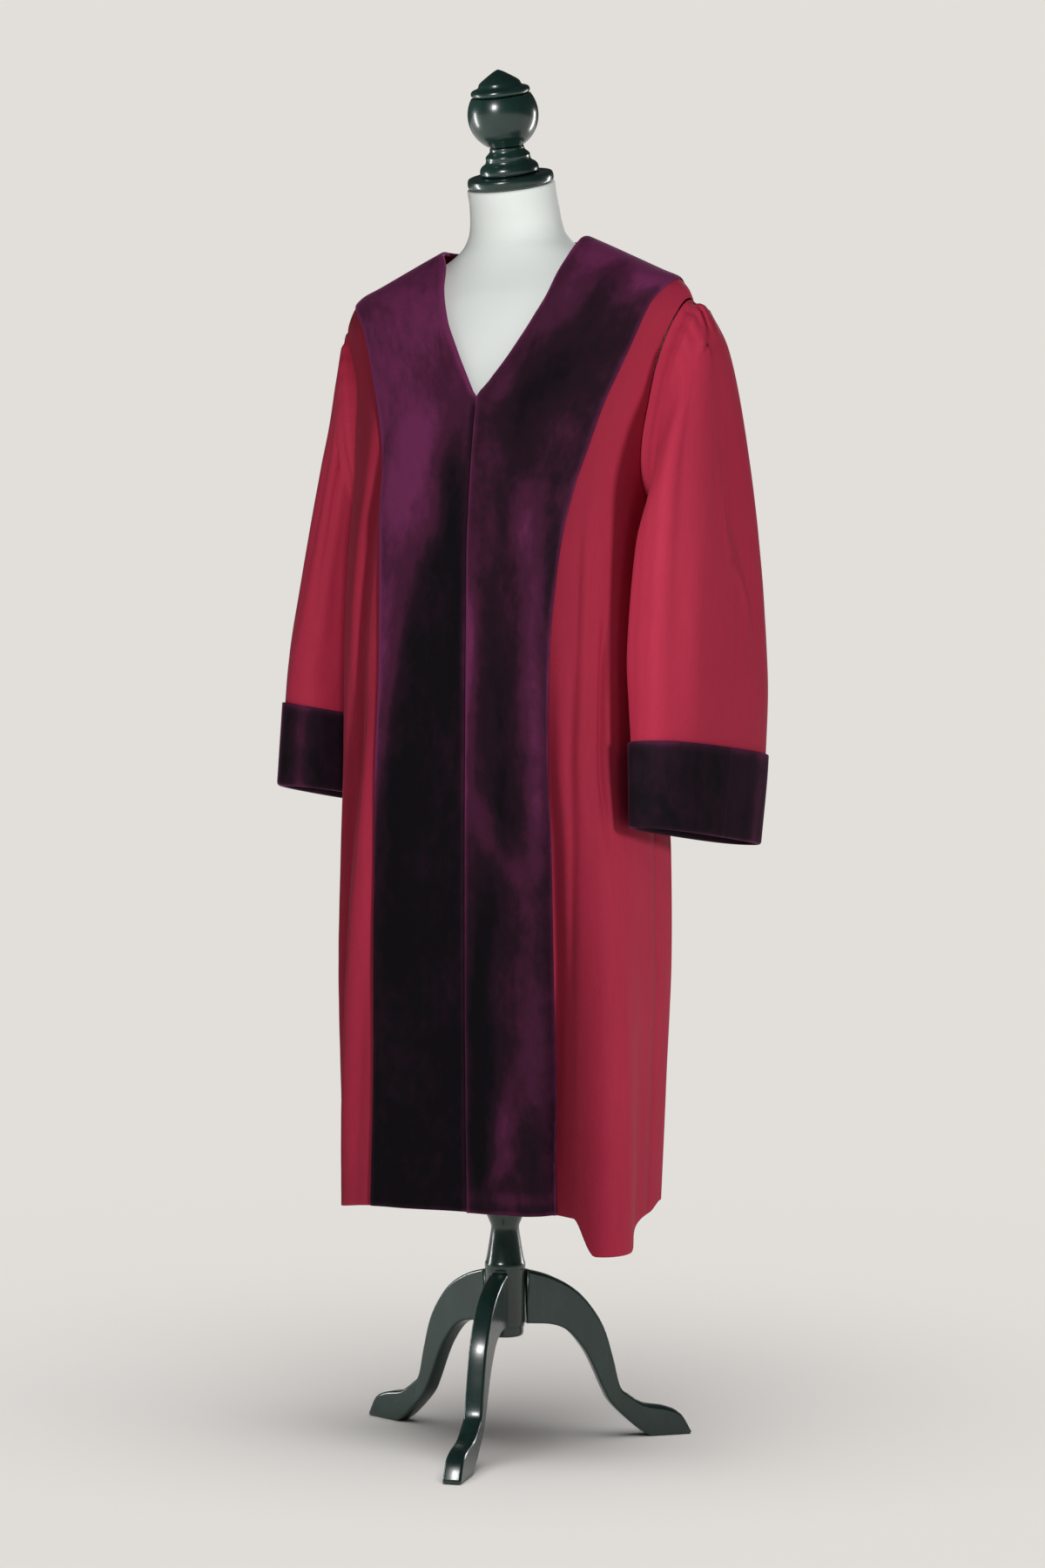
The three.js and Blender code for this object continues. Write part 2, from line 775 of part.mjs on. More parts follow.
// ---------------------------------------------------------------- sleeves
const RING = 28,
  SLEEVE_STEPS = [0, 0.035, 0.07, 0.11, 0.16, 0.22, 0.3, 0.4, 0.52, 0.64, 0.76, 0.88, 1];
function sleeveRing(side, at, t, stand = 0) {
  const r = at(Math.max(t, 0.07));
  const ring = [];
  for (let k = 0; k < RING; k++) {
    const deg = (360 * k) / RING; // 0 outer side, 90 front, 180 inner side
    const c = Math.cos(rad(deg)),
      s = Math.sin(rad(deg));
    const kc = Math.sign(c) * Math.abs(c) ** (2 / r.p),
      ks = Math.sign(s) * Math.abs(s) ** (2 / r.p);
    const mx = (r.ox + r.ix) / 2,
      mz = (r.oz + r.iz) / 2,
      hx = (r.ox - r.ix) / 2 + stand,
      hz = (r.oz - r.iz) / 2;
    let px = hx * kc,
      py = -(s > 0 ? r.f + stand : r.b + stand) * ks;
    // the pleat: behind its line the cloth steps in and comes back slowly
    const step = PLEAT.deep * (1 - smooth(0.2, PLEAT.until, t)) * smooth(0.01, 0.08, t);
    const d = PLEAT.at - deg > 0 ? PLEAT.at - deg : PLEAT.at - deg + 360;
    if (d < 70) px -= step * smooth(0, 5, d) * (1 - smooth(14, 70, d));
    const tw = rad(r.twist);
    const qx = px * Math.cos(tw) - py * Math.sin(tw),
      qy = px * Math.sin(tw) + py * Math.cos(tw);
    const tilt = CUFF_TILT * smooth(0.5, 1, t);
    ring.push(
      new THREE.Vector3(side * (mx + qx), r.y + qy, mz + hz * kc - tilt * (qy)),
    );
  }
  if (t >= 0.07) return ring;
  // towards the armhole the ring closes onto the armhole's own edge
  const u = t / 0.07;
  return ring.map((p, k) => {
    const deg = (360 * k) / RING;
    const towards = deg <= 180 ? 1 : -1;
    const half = deg <= 180 ? deg : 360 - deg;
    const h = armhole(side, half, towards);
    const rz = bodyAt(h.z);
    const e = bodyPoint(side, angleOfY(rz, h.y), h.z, WOOL + GAP + 0.5);
    // just outside the armhole's edge
    return e.lerp(p, u);
  });
}
// How far along the sleeve the level stands at a rise over its hem.
function shareAtRise(at, rise) {
  const level = (t) => (at(t).oz + at(t).iz) / 2;
  let lo = 0.5,
    hi = 1;
  for (let i = 0; i < 40; i++) {
    const m = (lo + hi) / 2;
    if (level(m) > level(1) + rise) lo = m;
    else hi = m;
  }
  return (lo + hi) / 2;
}
function sleeve(word, side, table) {
  const at = reader(table, "t");
  const cuffTop = shareAtRise(at, CUFF_TALL - CUFF_UNDER);
  const steps = [...SLEEVE_STEPS.filter((t) => t < cuffTop - 0.05), cuffTop, (cuffTop + 1) / 2, 1];
  const grid = steps.map((t) => sleeveRing(side, at, t));
  piece(
    "sleeve_" + word,
    wall(grid, WOOL, { wrap: true, flip: side < 0 }),
    WOOL_RED,
  );
  // the cuff lies on the sleeve's last rings and ends just below its hem
  const hem = grid[grid.length - 1].map((p) => p.clone().setZ(p.z - CUFF_UNDER));
  piece(
    "cuff_" + word,
    wall([...grid.slice(-3), hem], PILE, {
      wrap: true,
      flip: side < 0,
      base: WOOL + CUFF_STAND,
    }),
    VELVET,
  );
}
sleeve("left", 1, SLEEVE_L);
sleeve("right", -1, SLEEVE_R);

// ---------------------------------------------------------------- dress form
const FORM_COLUMNS = 32;
const formLevels = [
  780, 840, 900, 960, 1020, 1080, 1150, 1220, 1270, 1310, 1345, 1375, 1400, 1418, 1432,
  1446, 1460, 1474, 1488, 1503, 1520, 1538, 1558,
];
const tiltedCap = (p) => {
  // the neck's top face leans to the front
  const k = smooth(1500, NECK_TOP.z, p.z);
  p.z += k * (p.y - NECK_TOP.y) * Math.tan(rad(NECK_TILT));
  return p;
};
const formRings = formLevels.map((z) => {
  const r = formAt(z);
  const ring = [];
  for (let k = 0; k < FORM_COLUMNS; k++) {
    const w = (2 * Math.PI * k) / FORM_COLUMNS;
    const side = w < Math.PI ? 1 : -1;
    const [x, y] = ringPoint(r, r.a, w < Math.PI ? w : 2 * Math.PI - w);
    ring.push(tiltedCap(settle(new THREE.Vector3(side * x, y, z))));
  }
  return ring;
});
piece("form_torso", stack(formRings), JERSEY);

// ---------------------------------------------------------------- turned neck pieces
const lathe = (profile, sides = 32) =>
  new THREE.LatheGeometry(
    profile.map(([r, z]) => new THREE.Vector2(r, z)),
    sides,
  ).rotateX(Math.PI / 2);
const neckFrame = new THREE.Matrix4()
  .makeTranslation(0, NECK_TOP.y, NECK_TOP.z + 1.2)
  .multiply(new THREE.Matrix4().makeRotationX(rad(NECK_TILT)));
const turned = (name, profile, rise, sides) =>
  piece(
    name,
    lathe(profile, sides)
      .translate(0, 0, rise)
      .applyMatrix4(neckFrame),
    WOOD,
  );
turned("neck_disc", DISC, 0);
const ballProfile = [];
for (let i = 0; i <= 14; i++) {
  const z = mix(-BALL.low, BALL.high, i / 14);
  ballProfile.push([Math.sqrt(BALL.r ** 2 - z ** 2), z]);
}
const top = (profile) => profile[profile.length - 1][1];
const baseRise = top(DISC) + GAP;
const ballRise = baseRise + top(FINIAL_BASE) + GAP + BALL.low;
turned("finial_base", FINIAL_BASE, baseRise);
turned("finial_ball", [[0, -BALL.low], ...ballProfile, [0, BALL.high]], ballRise);
turned("finial_top", FINIAL_TOP, ballRise + BALL.high + GAP);

// ---------------------------------------------------------------- column and legs
piece("column", lathe(COLUMN), WOOD);
const legOutline = new THREE.Shape();
const under = [...LEG_UNDER_LINE];
legOutline.moveTo(...LEG_TOP_LINE[0]);
legOutline.splineThru(
  LEG_TOP_LINE.slice(1).map(([r, z]) => new THREE.Vector2(r, z)),
);
legOutline.lineTo(...under[0]);
legOutline.lineTo(...under[1]);
legOutline.splineThru(under.slice(2).map(([r, z]) => new THREE.Vector2(r, z)));
legOutline.closePath();
const names = ["leg_front", "leg_left", "leg_right"];
LEG_TURN.forEach((turn, i) => {
  const g = new THREE.ExtrudeGeometry(legOutline, {
    depth: LEG_THICK,
    bevelEnabled: false,
    curveSegments: 2,
  });
  // into the upright plane through the axis, the outline's x pointing outwards
  g.translate(0, 0, -LEG_THICK / 2);
  g.rotateX(Math.PI / 2);
  g.rotateZ(rad(turn - 90));
  piece(names[i], g, WOOD);
});

// ---------------------------------------------------------------- placing
const box = new THREE.Box3().setFromObject(parts);
const shift = new THREE.Vector3(
  -(box.min.x + box.max.x) / 2,
  -(box.min.y + box.max.y) / 2,
  -box.min.z,
);
for (const mesh of parts.children) mesh.geometry.translate(shift.x, shift.y, shift.z);

export default parts;
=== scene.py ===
import math

import bmesh
import bpy
import numpy as np
from mathutils import Matrix, Vector


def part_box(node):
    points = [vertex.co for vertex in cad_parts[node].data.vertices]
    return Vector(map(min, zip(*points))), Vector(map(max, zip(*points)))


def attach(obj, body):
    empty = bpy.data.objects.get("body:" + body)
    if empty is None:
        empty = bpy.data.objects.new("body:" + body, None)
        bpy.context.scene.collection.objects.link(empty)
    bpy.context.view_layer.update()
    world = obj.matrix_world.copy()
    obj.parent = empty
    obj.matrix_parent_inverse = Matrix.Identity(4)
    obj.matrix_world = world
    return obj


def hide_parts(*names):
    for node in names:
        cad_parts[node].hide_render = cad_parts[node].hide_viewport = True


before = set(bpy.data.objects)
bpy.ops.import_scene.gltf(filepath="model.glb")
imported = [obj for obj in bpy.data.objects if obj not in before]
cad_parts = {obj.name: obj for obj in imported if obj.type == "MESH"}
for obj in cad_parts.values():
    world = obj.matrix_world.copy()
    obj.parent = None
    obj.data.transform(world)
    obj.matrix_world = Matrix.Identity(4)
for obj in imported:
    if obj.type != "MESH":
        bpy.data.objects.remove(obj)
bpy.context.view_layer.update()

# ------------------------------------------------------------------ sizes (millimetres)
# The tables are about the column's axis. The wearer faces -Y and
# the wearer's left is +X.
WOOL, PILE, GAP = 2.0, 2.6, 0.4
NECK_Z, V_Z, HEM_Z = 1489.0, 1286.0, 304.0
LAP = 22.0
LAP_LIFT = WOOL + PILE + 3.5 * GAP
SHOULDER_DROP = 12.0
CUFF_STAND, CUFF_TALL, CUFF_UNDER, CUFF_TILT = 1.2, 103.0, 3.0, 0.14
FORM_BOTTOM_Z = 780.0
LEG_THICK = 23.0
LEG_TURN = [9.6, 129.6, -110.4]
ARMHOLE = dict(z=1283.0, y=30.0, tall=129.0, deep=63.0, ease=18.0, tuck=3.5)
ARM_TOP = ARMHOLE["z"] + ARMHOLE["tall"]
FULL = NECK_Z - HEM_Z

BODY = (["z", "aL", "aR", "yc", "yf", "yb", "p"], [
    [1489, 95, 95, 38, -22, 92, 1.9],
    [1475, 126, 126, 40, -32, 99, 1.9],
    [1460, 158, 158, 42, -42, 104, 1.9],
    [1445, 190, 190, 44, -52, 110, 1.9],
    [1434, 214, 214, 45, -58, 114, 1.9],
    [1420, 226, 226, 44, -63, 118, 1.95],
    [1395, 233, 232, 42, -69, 124, 2.0],
    [1360, 228, 228, 38, -75, 128, 2.05],
    [1320, 217, 218, 35, -83, 130, 2.2],
    [1286, 207, 209, 32, -91, 130, 2.35],
    [1240, 196, 201, 29, -100, 128, 2.6],
    [1180, 188, 196, 26, -110, 124, 2.9],
    [1100, 185, 195, 23, -122, 120, 3.3],
    [1000, 184, 195, 21, -127, 118, 3.6],
    [860, 184, 195, 20, -129, 116, 3.7],
    [730, 193, 198, 20, -130, 120, 3.8],
    [600, 195, 202, 20, -130, 120, 3.8],
    [450, 190, 204, 20, -128, 120, 3.7],
    [304, 184, 207, 20, -124, 120, 3.5],
])
BAND_L = (["z", "inner", "outer"], [
    [1489, 95, 214],
    [1478, 97, 212],
    [1463, 96, 210],
    [1440, 92, 208.5],
    [1417, 86, 203.5],
    [1385, 70, 193],
    [1355, 52.5, 183],
    [1331, 38, 175],
    [1307, 23.5, 166.5],
    [1286, 9, 159.5],
    [1260, 9, 152.5],
    [1224, 9, 144],
    [1177, 9, 133],
    [1118, 9, 124.5],
    [1059, 9, 119],
    [986, 9, 114.5],
    [883, 9, 112.5],
    [718, 9, 113.5],
    [477, 9, 116],
    [304, 9, 120.5],
])
BAND_R = (["z", "inner", "outer"], [
    [1489, 95, 214],
    [1478, 78, 212],
    [1463, 67, 210],
    [1436, 59, 208],
    [1410, 52, 190],
    [1386, 45, 174],
    [1360, 34, 164],
    [1334, 22, 155],
    [1307, 8, 146],
    [1292, 0, 141],
    [1286, -3, 139.5],
    [1260, -3, 134.5],
    [1194, -3, 124],
    [1103, -3, 112.5],
    [967, -3, 109.5],
    [826, -3, 113],
    [715, -3, 115],
    [467, -3, 117],
    [304, -3, 124],
])
# at, wide (degrees), deep, from, full: long folds, as on the frame's own cloth
FOLD = [
    [54, 19, 38, 900, 320],
    [26, 8, -13, 900, 420],
    [84, 22, -3, 1100, 560],
    [-78, 12, -9, 1000, 420],
    [-104, 13, 9, 1050, 420],
    [124, 11, -12, 1050, 420],
    [146, 12, 12, 1150, 420],
    [166, 10, -10, 1100, 420],
    [-172, 12, 12, 1150, 420],
    [-150, 11, -12, 1100, 420],
    [-130, 12, 10, 1050, 420],
]
HEM_DROP = dict(start=38.0, front=47.0, back=66.0, to=102.0, deep=43.0, right=9.0)
SLEEVE_NAMES = ["t", "ox", "oz", "ix", "iz", "y", "f", "b", "twist", "p"]
SLEEVE_L = (SLEEVE_NAMES, [
    [0.07, 256, 1397, 202, 1152, 29, 66, 64, 0, 2.0],
    [0.15, 277, 1356, 202, 1138, 28, 80, 73, -1, 2.15],
    [0.25, 286, 1300, 200, 1112, 26, 98, 84, -3, 2.5],
    [0.36, 292, 1232, 198, 1076, 24, 110, 94, -6, 2.75],
    [0.48, 298, 1150, 198, 1024, 21, 114, 102, -9, 2.85],
    [0.61, 301, 1060, 199, 962, 20, 116, 108, -12, 2.85],
    [0.74, 300, 954, 204, 914, 19, 115, 114, -14, 2.75],
    [0.87, 292, 857, 209, 854, 18, 112, 116, -14, 2.65],
    [1.0, 282, 760, 211, 761, 17, 110, 115, -13, 2.6],
])
SLEEVE_R = (SLEEVE_NAMES, [
    [0.07, 229, 1396, 204, 1152, 38, 59, 62, 0, 2.0],
    [0.15, 236, 1354, 207, 1138, 41, 61, 68, 1, 2.0],
    [0.25, 243, 1300, 209, 1112, 45, 66, 76, 2, 2.0],
    [0.36, 253, 1236, 211, 1076, 49, 74, 84, 3, 2.1],
    [0.48, 266, 1156, 212, 1028, 52, 84, 92, 4, 2.2],
    [0.61, 278, 1072, 213, 970, 54, 94, 98, 5, 2.3],
    [0.74, 290, 978, 214, 938, 56, 102, 104, 6, 2.4],
    [0.87, 295, 893, 215, 884, 57, 108, 108, 6, 2.5],
    [1.0, 301, 802, 216, 798, 58, 112, 110, 6, 2.5],
])
PLEAT = dict(at=18.0, deep=11.0, until=0.72)
FORM = (["z", "a", "yc", "yf", "yb", "p"], [
    [780, 150, 20, -82, 96, 2.2],
    [880, 158, 20, -88, 108, 2.2],
    [980, 150, 18, -86, 92, 2.2],
    [1060, 140, 18, -82, 82, 2.2],
    [1160, 152, 22, -88, 96, 2.2],
    [1240, 168, 28, -92, 112, 2.2],
    [1286, 176, 30, -86, 118, 2.15],
    [1320, 186, 34, -78, 118, 2.05],
    [1360, 205, 37, -69.5, 115, 1.95],
    [1395, 214, 41, -60, 111, 1.9],
    [1418, 208, 43, -52, 106, 1.9],
    [1434, 188, 43, -44, 100, 1.9],
    [1448, 156, 42, -37, 95, 1.9],
    [1462, 124, 40, -31, 89, 1.9],
    [1476, 94, 38, -26, 84, 1.95],
    [1490, 71, 38, -22, 86, 2.0],
    [1506, 60, 35, -21, 87, 2.0],
    [1526, 56, 29, -27, 85, 2.0],
    [1546, 54.5, 22, -33, 77, 2.0],
    [1558, 54.5, 18, -36.5, 72.5, 2.0],
])
NECK_TILT = 16.0
NECK_TOP = dict(y=18.0, z=1558.0)
DISC = [[0, 0], [50, 0], [53.5, 2], [54, 7], [53, 12], [50, 13.5], [38, 14], [0, 14]]
FINIAL_BASE = [[0, 0], [36, 0], [37, 3], [36.5, 8], [34, 12], [28.5, 15], [27.5, 20], [28, 23],
               [25, 26], [21.5, 29], [21.5, 35], [0, 35]]
FINIAL_TOP = [[0, 0], [33, 0], [36.5, 2], [37, 5], [35.5, 8.5], [28, 10.5], [26.5, 13], [25, 17],
              [13, 25], [5, 30], [0, 32]]
BALL = dict(r=44.0, low=37.8, high=24.0)
COLUMN = [[0, 133], [20, 133], [23, 136], [23, 144], [24.5, 147], [24.5, 216], [25, 217], [25.5, 220],
          [25, 224], [24, 226], [22, 236], [18.5, 258], [17.4, 266], [17.4, 270], [20, 276],
          [23.5, 284], [24.5, 292], [22, 300], [18, 306], [17, 340],
          [17, FORM_BOTTOM_Z - GAP], [0, FORM_BOTTOM_Z - GAP]]
LEG_TOP_LINE = [[25.5, 214], [56, 205], [86, 189], [107, 168], [125, 139], [137, 100], [146, 65],
                [158, 53], [179, 40], [208, 34], [226, 25], [239, 3]]
LEG_UNDER_LINE = [[237, 0], [185, 0], [167, 12], [137, 40], [125, 60], [110, 93], [98, 114],
                  [80, 135], [59, 145], [25.5, 148]]

# the column's axis in the frame, in metres
_lo, _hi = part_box("column")
AXIS = np.array([(_lo.x + _hi.x) / 2, (_lo.y + _hi.y) / 2, 0.0])


def metres(p):
    return np.asarray(p, float) / 1000.0 + AXIS


# ------------------------------------------------------------------ reading the tables
class Table:
    """Smooth reading of a table at its first column, without overshoot."""

    def __init__(self, table):
        names, rows = table
        a = np.array(sorted(rows), float)
        self.names, self.x, self.y = names[1:], a[:, 0], a[:, 1:]
        h = np.diff(self.x)
        d = np.diff(self.y, axis=0) / h[:, None]
        m = np.zeros_like(self.y)
        m[0], m[-1] = d[0], d[-1]
        for i in range(1, len(self.x) - 1):
            w1, w2 = 2 * h[i] + h[i - 1], h[i] + 2 * h[i - 1]
            ok = d[i - 1] * d[i] > 0
            a0, a1 = np.where(ok, d[i - 1], 1.0), np.where(ok, d[i], 1.0)
            m[i] = np.where(ok, (w1 + w2) / (w1 / a0 + w2 / a1), 0.0)
        self.m = m

    def __call__(self, k):
        k = np.asarray(k, float)
        q = np.clip(k, self.x[0], self.x[-1])
        i = np.clip(np.searchsorted(self.x, q, side="right") - 1, 0, len(self.x) - 2)
        h = self.x[i + 1] - self.x[i]
        u = (q - self.x[i]) / h
        out = {}
        for c, n in enumerate(self.names):
            y0, y1 = self.y[i, c], self.y[i + 1, c]
            m0, m1 = self.m[i, c] * h, self.m[i + 1, c] * h
            out[n] = (y0 * (1 + 2 * u) * (1 - u) ** 2 + m0 * u * (1 - u) ** 2
                      + y1 * u * u * (3 - 2 * u) + m1 * u * u * (u - 1))
        return out


def smooth(a, b, v):
    u = np.clip((np.asarray(v, float) - a) / (b - a), 0, 1)
    return u * u * (3 - 2 * u)


def mix(a, b, u):
    return a + (b - a) * u


def bump(d, w):
    r = np.clip(np.abs(d) / w, 0, 1)
    return (1 - r * r) ** 2


body_at, form_at = Table(BODY), Table(FORM)
BAND_OF = {1: Table(BAND_L), -1: Table(BAND_R)}


def ring_point(r, a, angle):
    s = np.abs(np.sin(angle)) ** (2 / r["p"])
    c = np.cos(angle)
    k = np.abs(c) ** (2 / r["p"])
    depth = np.where(c > 0, r["yc"] - r["yf"], r["yb"] - r["yc"])
    return a * s, r["yc"] - np.sign(c) * depth * k


def angle_of_x(r, a, x):
    return np.arcsin(np.minimum(np.abs(x) / a, 1) ** (r["p"] / 2))


def angle_of_y(r, y):
    front = y < r["yc"]
    uf = np.clip((r["yc"] - y) / (r["yc"] - r["yf"]), 0, 1)
    ub = np.clip((y - r["yc"]) / (r["yb"] - r["yc"]), 0, 1)
    return np.where(front, np.arccos(uf ** (r["p"] / 2)), np.pi - np.arccos(ub ** (r["p"] / 2)))


def ridge_z(x):
    x = np.asarray(x, float)
    lo, hi = np.full(x.shape, 1395.0), np.full(x.shape, NECK_Z)
    for _ in range(40):
        m = (lo + hi) / 2
        inside = body_at(m)["aL"] > x
        lo, hi = np.where(inside, m, lo), np.where(inside, hi, m)
    return (lo + hi) / 2


def settle(p):
    """The wearer's right shoulder hangs a little lower than the left."""
    p = p.copy()
    z = p[..., 2]
    k = smooth(1150, 1430, z) * (1 - smooth(1490, 1535, z)) * smooth(5, 90, -p[..., 0])
    p[..., 2] = z - SHOULDER_DROP * k
    return p


def turn_of(d):
    return d - 360 * np.round(d / 360)


# Fine creases in the body's cloth. at (degrees) and z are the crease's upper end, at2 and z2
# its lower end; wide is its half width in degrees, deep its height in mm (a trough is
# negative), and lean makes one flank steeper than the other.
CREASE = [
    # at, z, at2, z2, wide, deep, lean
    [46, 1180, 41, 760, 5.0, 2.6, 0.3],
    [21, 1040, 25, 280, 7.5, -11.5, 0.25],
    [60, 1040, 57, 760, 6.0, -9.0, 0.0],
    [66, 1160, 66, 500, 14.0, -3.0, 0.0],
    [38, 1000, 33, 560, 4.0, -2.2, 0.0],
    [-23, 960, -47, 280, 9.0, 7.0, 0.4],
    [-38, 1040, -62, 260, 11.0, -12.0, 0.0],
    [-33, 1340, -38, 760, 9.0, -9.0, 0.0],
    [-70, 900, -74, 420, 5.0, -2.0, 0.1],
    [-92, 1000, -90, 420, 7.0, 3.0, 0.2],
    [-118, 1160, -116, 560, 6.0, -3.0, 0.1],
    [110, 1150, 112, 520, 6.0, 3.2, -0.2],
    [134, 1240, 131, 640, 5.0, 2.6, 0.2],
    [156, 1160, 158, 600, 6.0, -3.0, 0.1],
    [176, 1220, 178, 760, 7.0, -2.4, 0.0],
    [-162, 1200, -160, 680, 6.0, 2.8, 0.2],
    [-140, 1100, -141, 480, 5.0, -2.6, -0.1],
    [12, 760, 16, 420, 5.0, -1.6, 0.0],
    [-16, 700, -12, 360, 6.0, 1.6, 0.0],
    [-24, 900, -22, 520, 4.0, -1.4, 0.0],
    [20, 560, 22, 304, 4.0, 1.8, 0.0],
]


def crease_at(deg, z):
    total = np.zeros(np.broadcast(deg, z).shape)
    for at, z1, at2, z2, wide, deep, lean in CREASE:
        u = np.clip((z1 - z) / (z1 - z2), -0.5, 1.5)
        along = smooth(-0.02, 0.3, u) * (1 - smooth(0.75, 1.15, u))
        d = turn_of(deg - mix(at, at2, u))
        w = wide * (1 + lean * np.sign(d))
        total = total + deep * along * bump(d, w)
    return total


def stroke_field(a, b, strokes):
    """Soft troughs (negative) and ridges laid along lines on a surface. a and b are
    the surface's coordinates in mm; a stroke is (line, half width, depth, lean, [depth
    share along it]). lean above 0 makes the flank on the larger a steeper."""
    total = np.zeros(np.broadcast(a, b).shape)
    for pts, wide, deep, lean, shares in strokes:
        pts = np.array(pts, float)
        seg = np.linalg.norm(np.diff(pts, axis=0), axis=1)
        at = np.concatenate([[0], np.cumsum(seg)]) / seg.sum()
        best = np.full(total.shape, 1e9)
        along = np.zeros(total.shape)
        sign = np.zeros(total.shape)
        for i in range(len(seg)):
            d = pts[i + 1] - pts[i]
            k = ((a - pts[i, 0]) * d[0] + (b - pts[i, 1]) * d[1]) / (seg[i] ** 2)
            kc = np.clip(k, 0, 1)
            ex, ey = a - pts[i, 0] - kc * d[0], b - pts[i, 1] - kc * d[1]
            dist = np.hypot(ex, ey)
            near = dist < best
            best = np.where(near, dist, best)
            along = np.where(near, at[i] + kc * (at[i + 1] - at[i]), along)
            sign = np.where(near, np.sign(ex), sign)
        w = wide * (1 - lean * sign)
        amount = np.interp(along, np.linspace(0, 1, len(shares)), shares)
        total = total + deep * amount * np.exp(-(best / w) ** 2)
    return total


def fold_at(deg, z):
    total = np.zeros(np.broadcast(deg, z).shape)
    for at, wide, deep, start, full in FOLD:
        grow = smooth(start, full, z)
        d = turn_of(deg - at)
        if at == 54:
            # the big fold: its front flank is steep and its crest is broad
            w = np.where(d < 0, wide * 1.18, wide * 1.75)
            total = total + deep * grow * bump(d + 0.0, w)
            continue
        total = total + deep * grow * bump(d, wide * 1.6)
    return total


def hem_drop(deg):
    h = HEM_DROP
    return (h["deep"] * smooth(h["start"], h["front"], deg) * (1 - smooth(h["back"], h["to"], deg))
            + h["right"] * smooth(15, 60, -deg) * (1 - smooth(110, 170, -deg)))


def body_point(side, angle, z, lift=0.0, extra=True):
    angle, z = np.broadcast_arrays(np.asarray(angle, float), np.asarray(z, float))
    r = body_at(z)
    a = r["aL"] if side > 0 else r["aR"]
    x, y = ring_point(r, a, angle)
    e = 0.01
    x1, y1 = ring_point(r, a, np.minimum(angle + e, np.pi - 1e-6))
    x0, y0 = ring_point(r, a, np.maximum(angle - e, 1e-6))
    nx, ny = (y1 - y0), -(x1 - x0)
    n = np.hypot(nx, ny)
    n = np.where(n < 1e-9, 1, n)
    nx, ny = nx / n, ny / n
    inward = nx * x + ny * (y - r["yc"]) < 0
    nx, ny = np.where(inward, -nx, nx), np.where(inward, -ny, ny)
    deg = side * np.degrees(angle)
    d = fold_at(deg, z) + lift
    if extra:
        d = d + crease_at(deg, z)
    return np.stack([side * (x + nx * d), y + ny * d, z], -1)


def seam_angle(r, towards):
    depth = r["yc"] - r["yf"] if towards > 0 else r["yb"] - r["yc"]
    return (GAP / 2 / depth) ** (r["p"] / 2)


def hole_y(side, z, s, towards, tuck=0.0):
    y = ARMHOLE["y"] + 12 * smooth(1300, 1412, z) - towards * (ARMHOLE["deep"] - tuck) * s
    ease = ARMHOLE["ease"] if side > 0 else 0.0
    return y + np.where(np.asarray(towards) > 0, ease * bump(z - 1300, 120), 0)


def side_edge(side, z, towards):
    """Angle of the armhole's front (+1) or back (-1) edge, or of the side seam below it."""
    z = np.asarray(z, float)
    r = body_at(z)
    least = np.pi / 2 - towards * seam_angle(r, towards)
    c = np.clip((z - ARMHOLE["z"]) / ARMHOLE["tall"], -1, 1)
    s = np.sqrt(1 - c * c)
    y = hole_y(side, z, s, towards)
    angle = angle_of_y(r, y)
    hole = np.minimum(angle, least) if towards > 0 else np.maximum(angle, least)
    return np.where(z <= ARMHOLE["z"] - ARMHOLE["tall"], least, hole)


# ------------------------------------------------------------------ rows of the panels
def share_rows(fine_top=26, step=0.0052):
    """Shares of the way from the shoulder seam to the hem, closer together at the seam."""
    top = 0.07 * (np.arange(fine_top + 1) / fine_top) ** 2
    rest = np.arange(0.07 + step, 1.0 - step * 0.4, step)
    arm = 0.2329 + np.array([-0.006, -0.003, -0.0012, 0.0])
    q = np.unique(np.concatenate([top, rest, arm, [1.0]]))
    keep = [0]
    for i in range(1, len(q)):
        if q[i] - q[keep[-1]] > 0.0004 or i == 1:
            keep.append(i)
    return q[keep]


ROWS = share_rows()


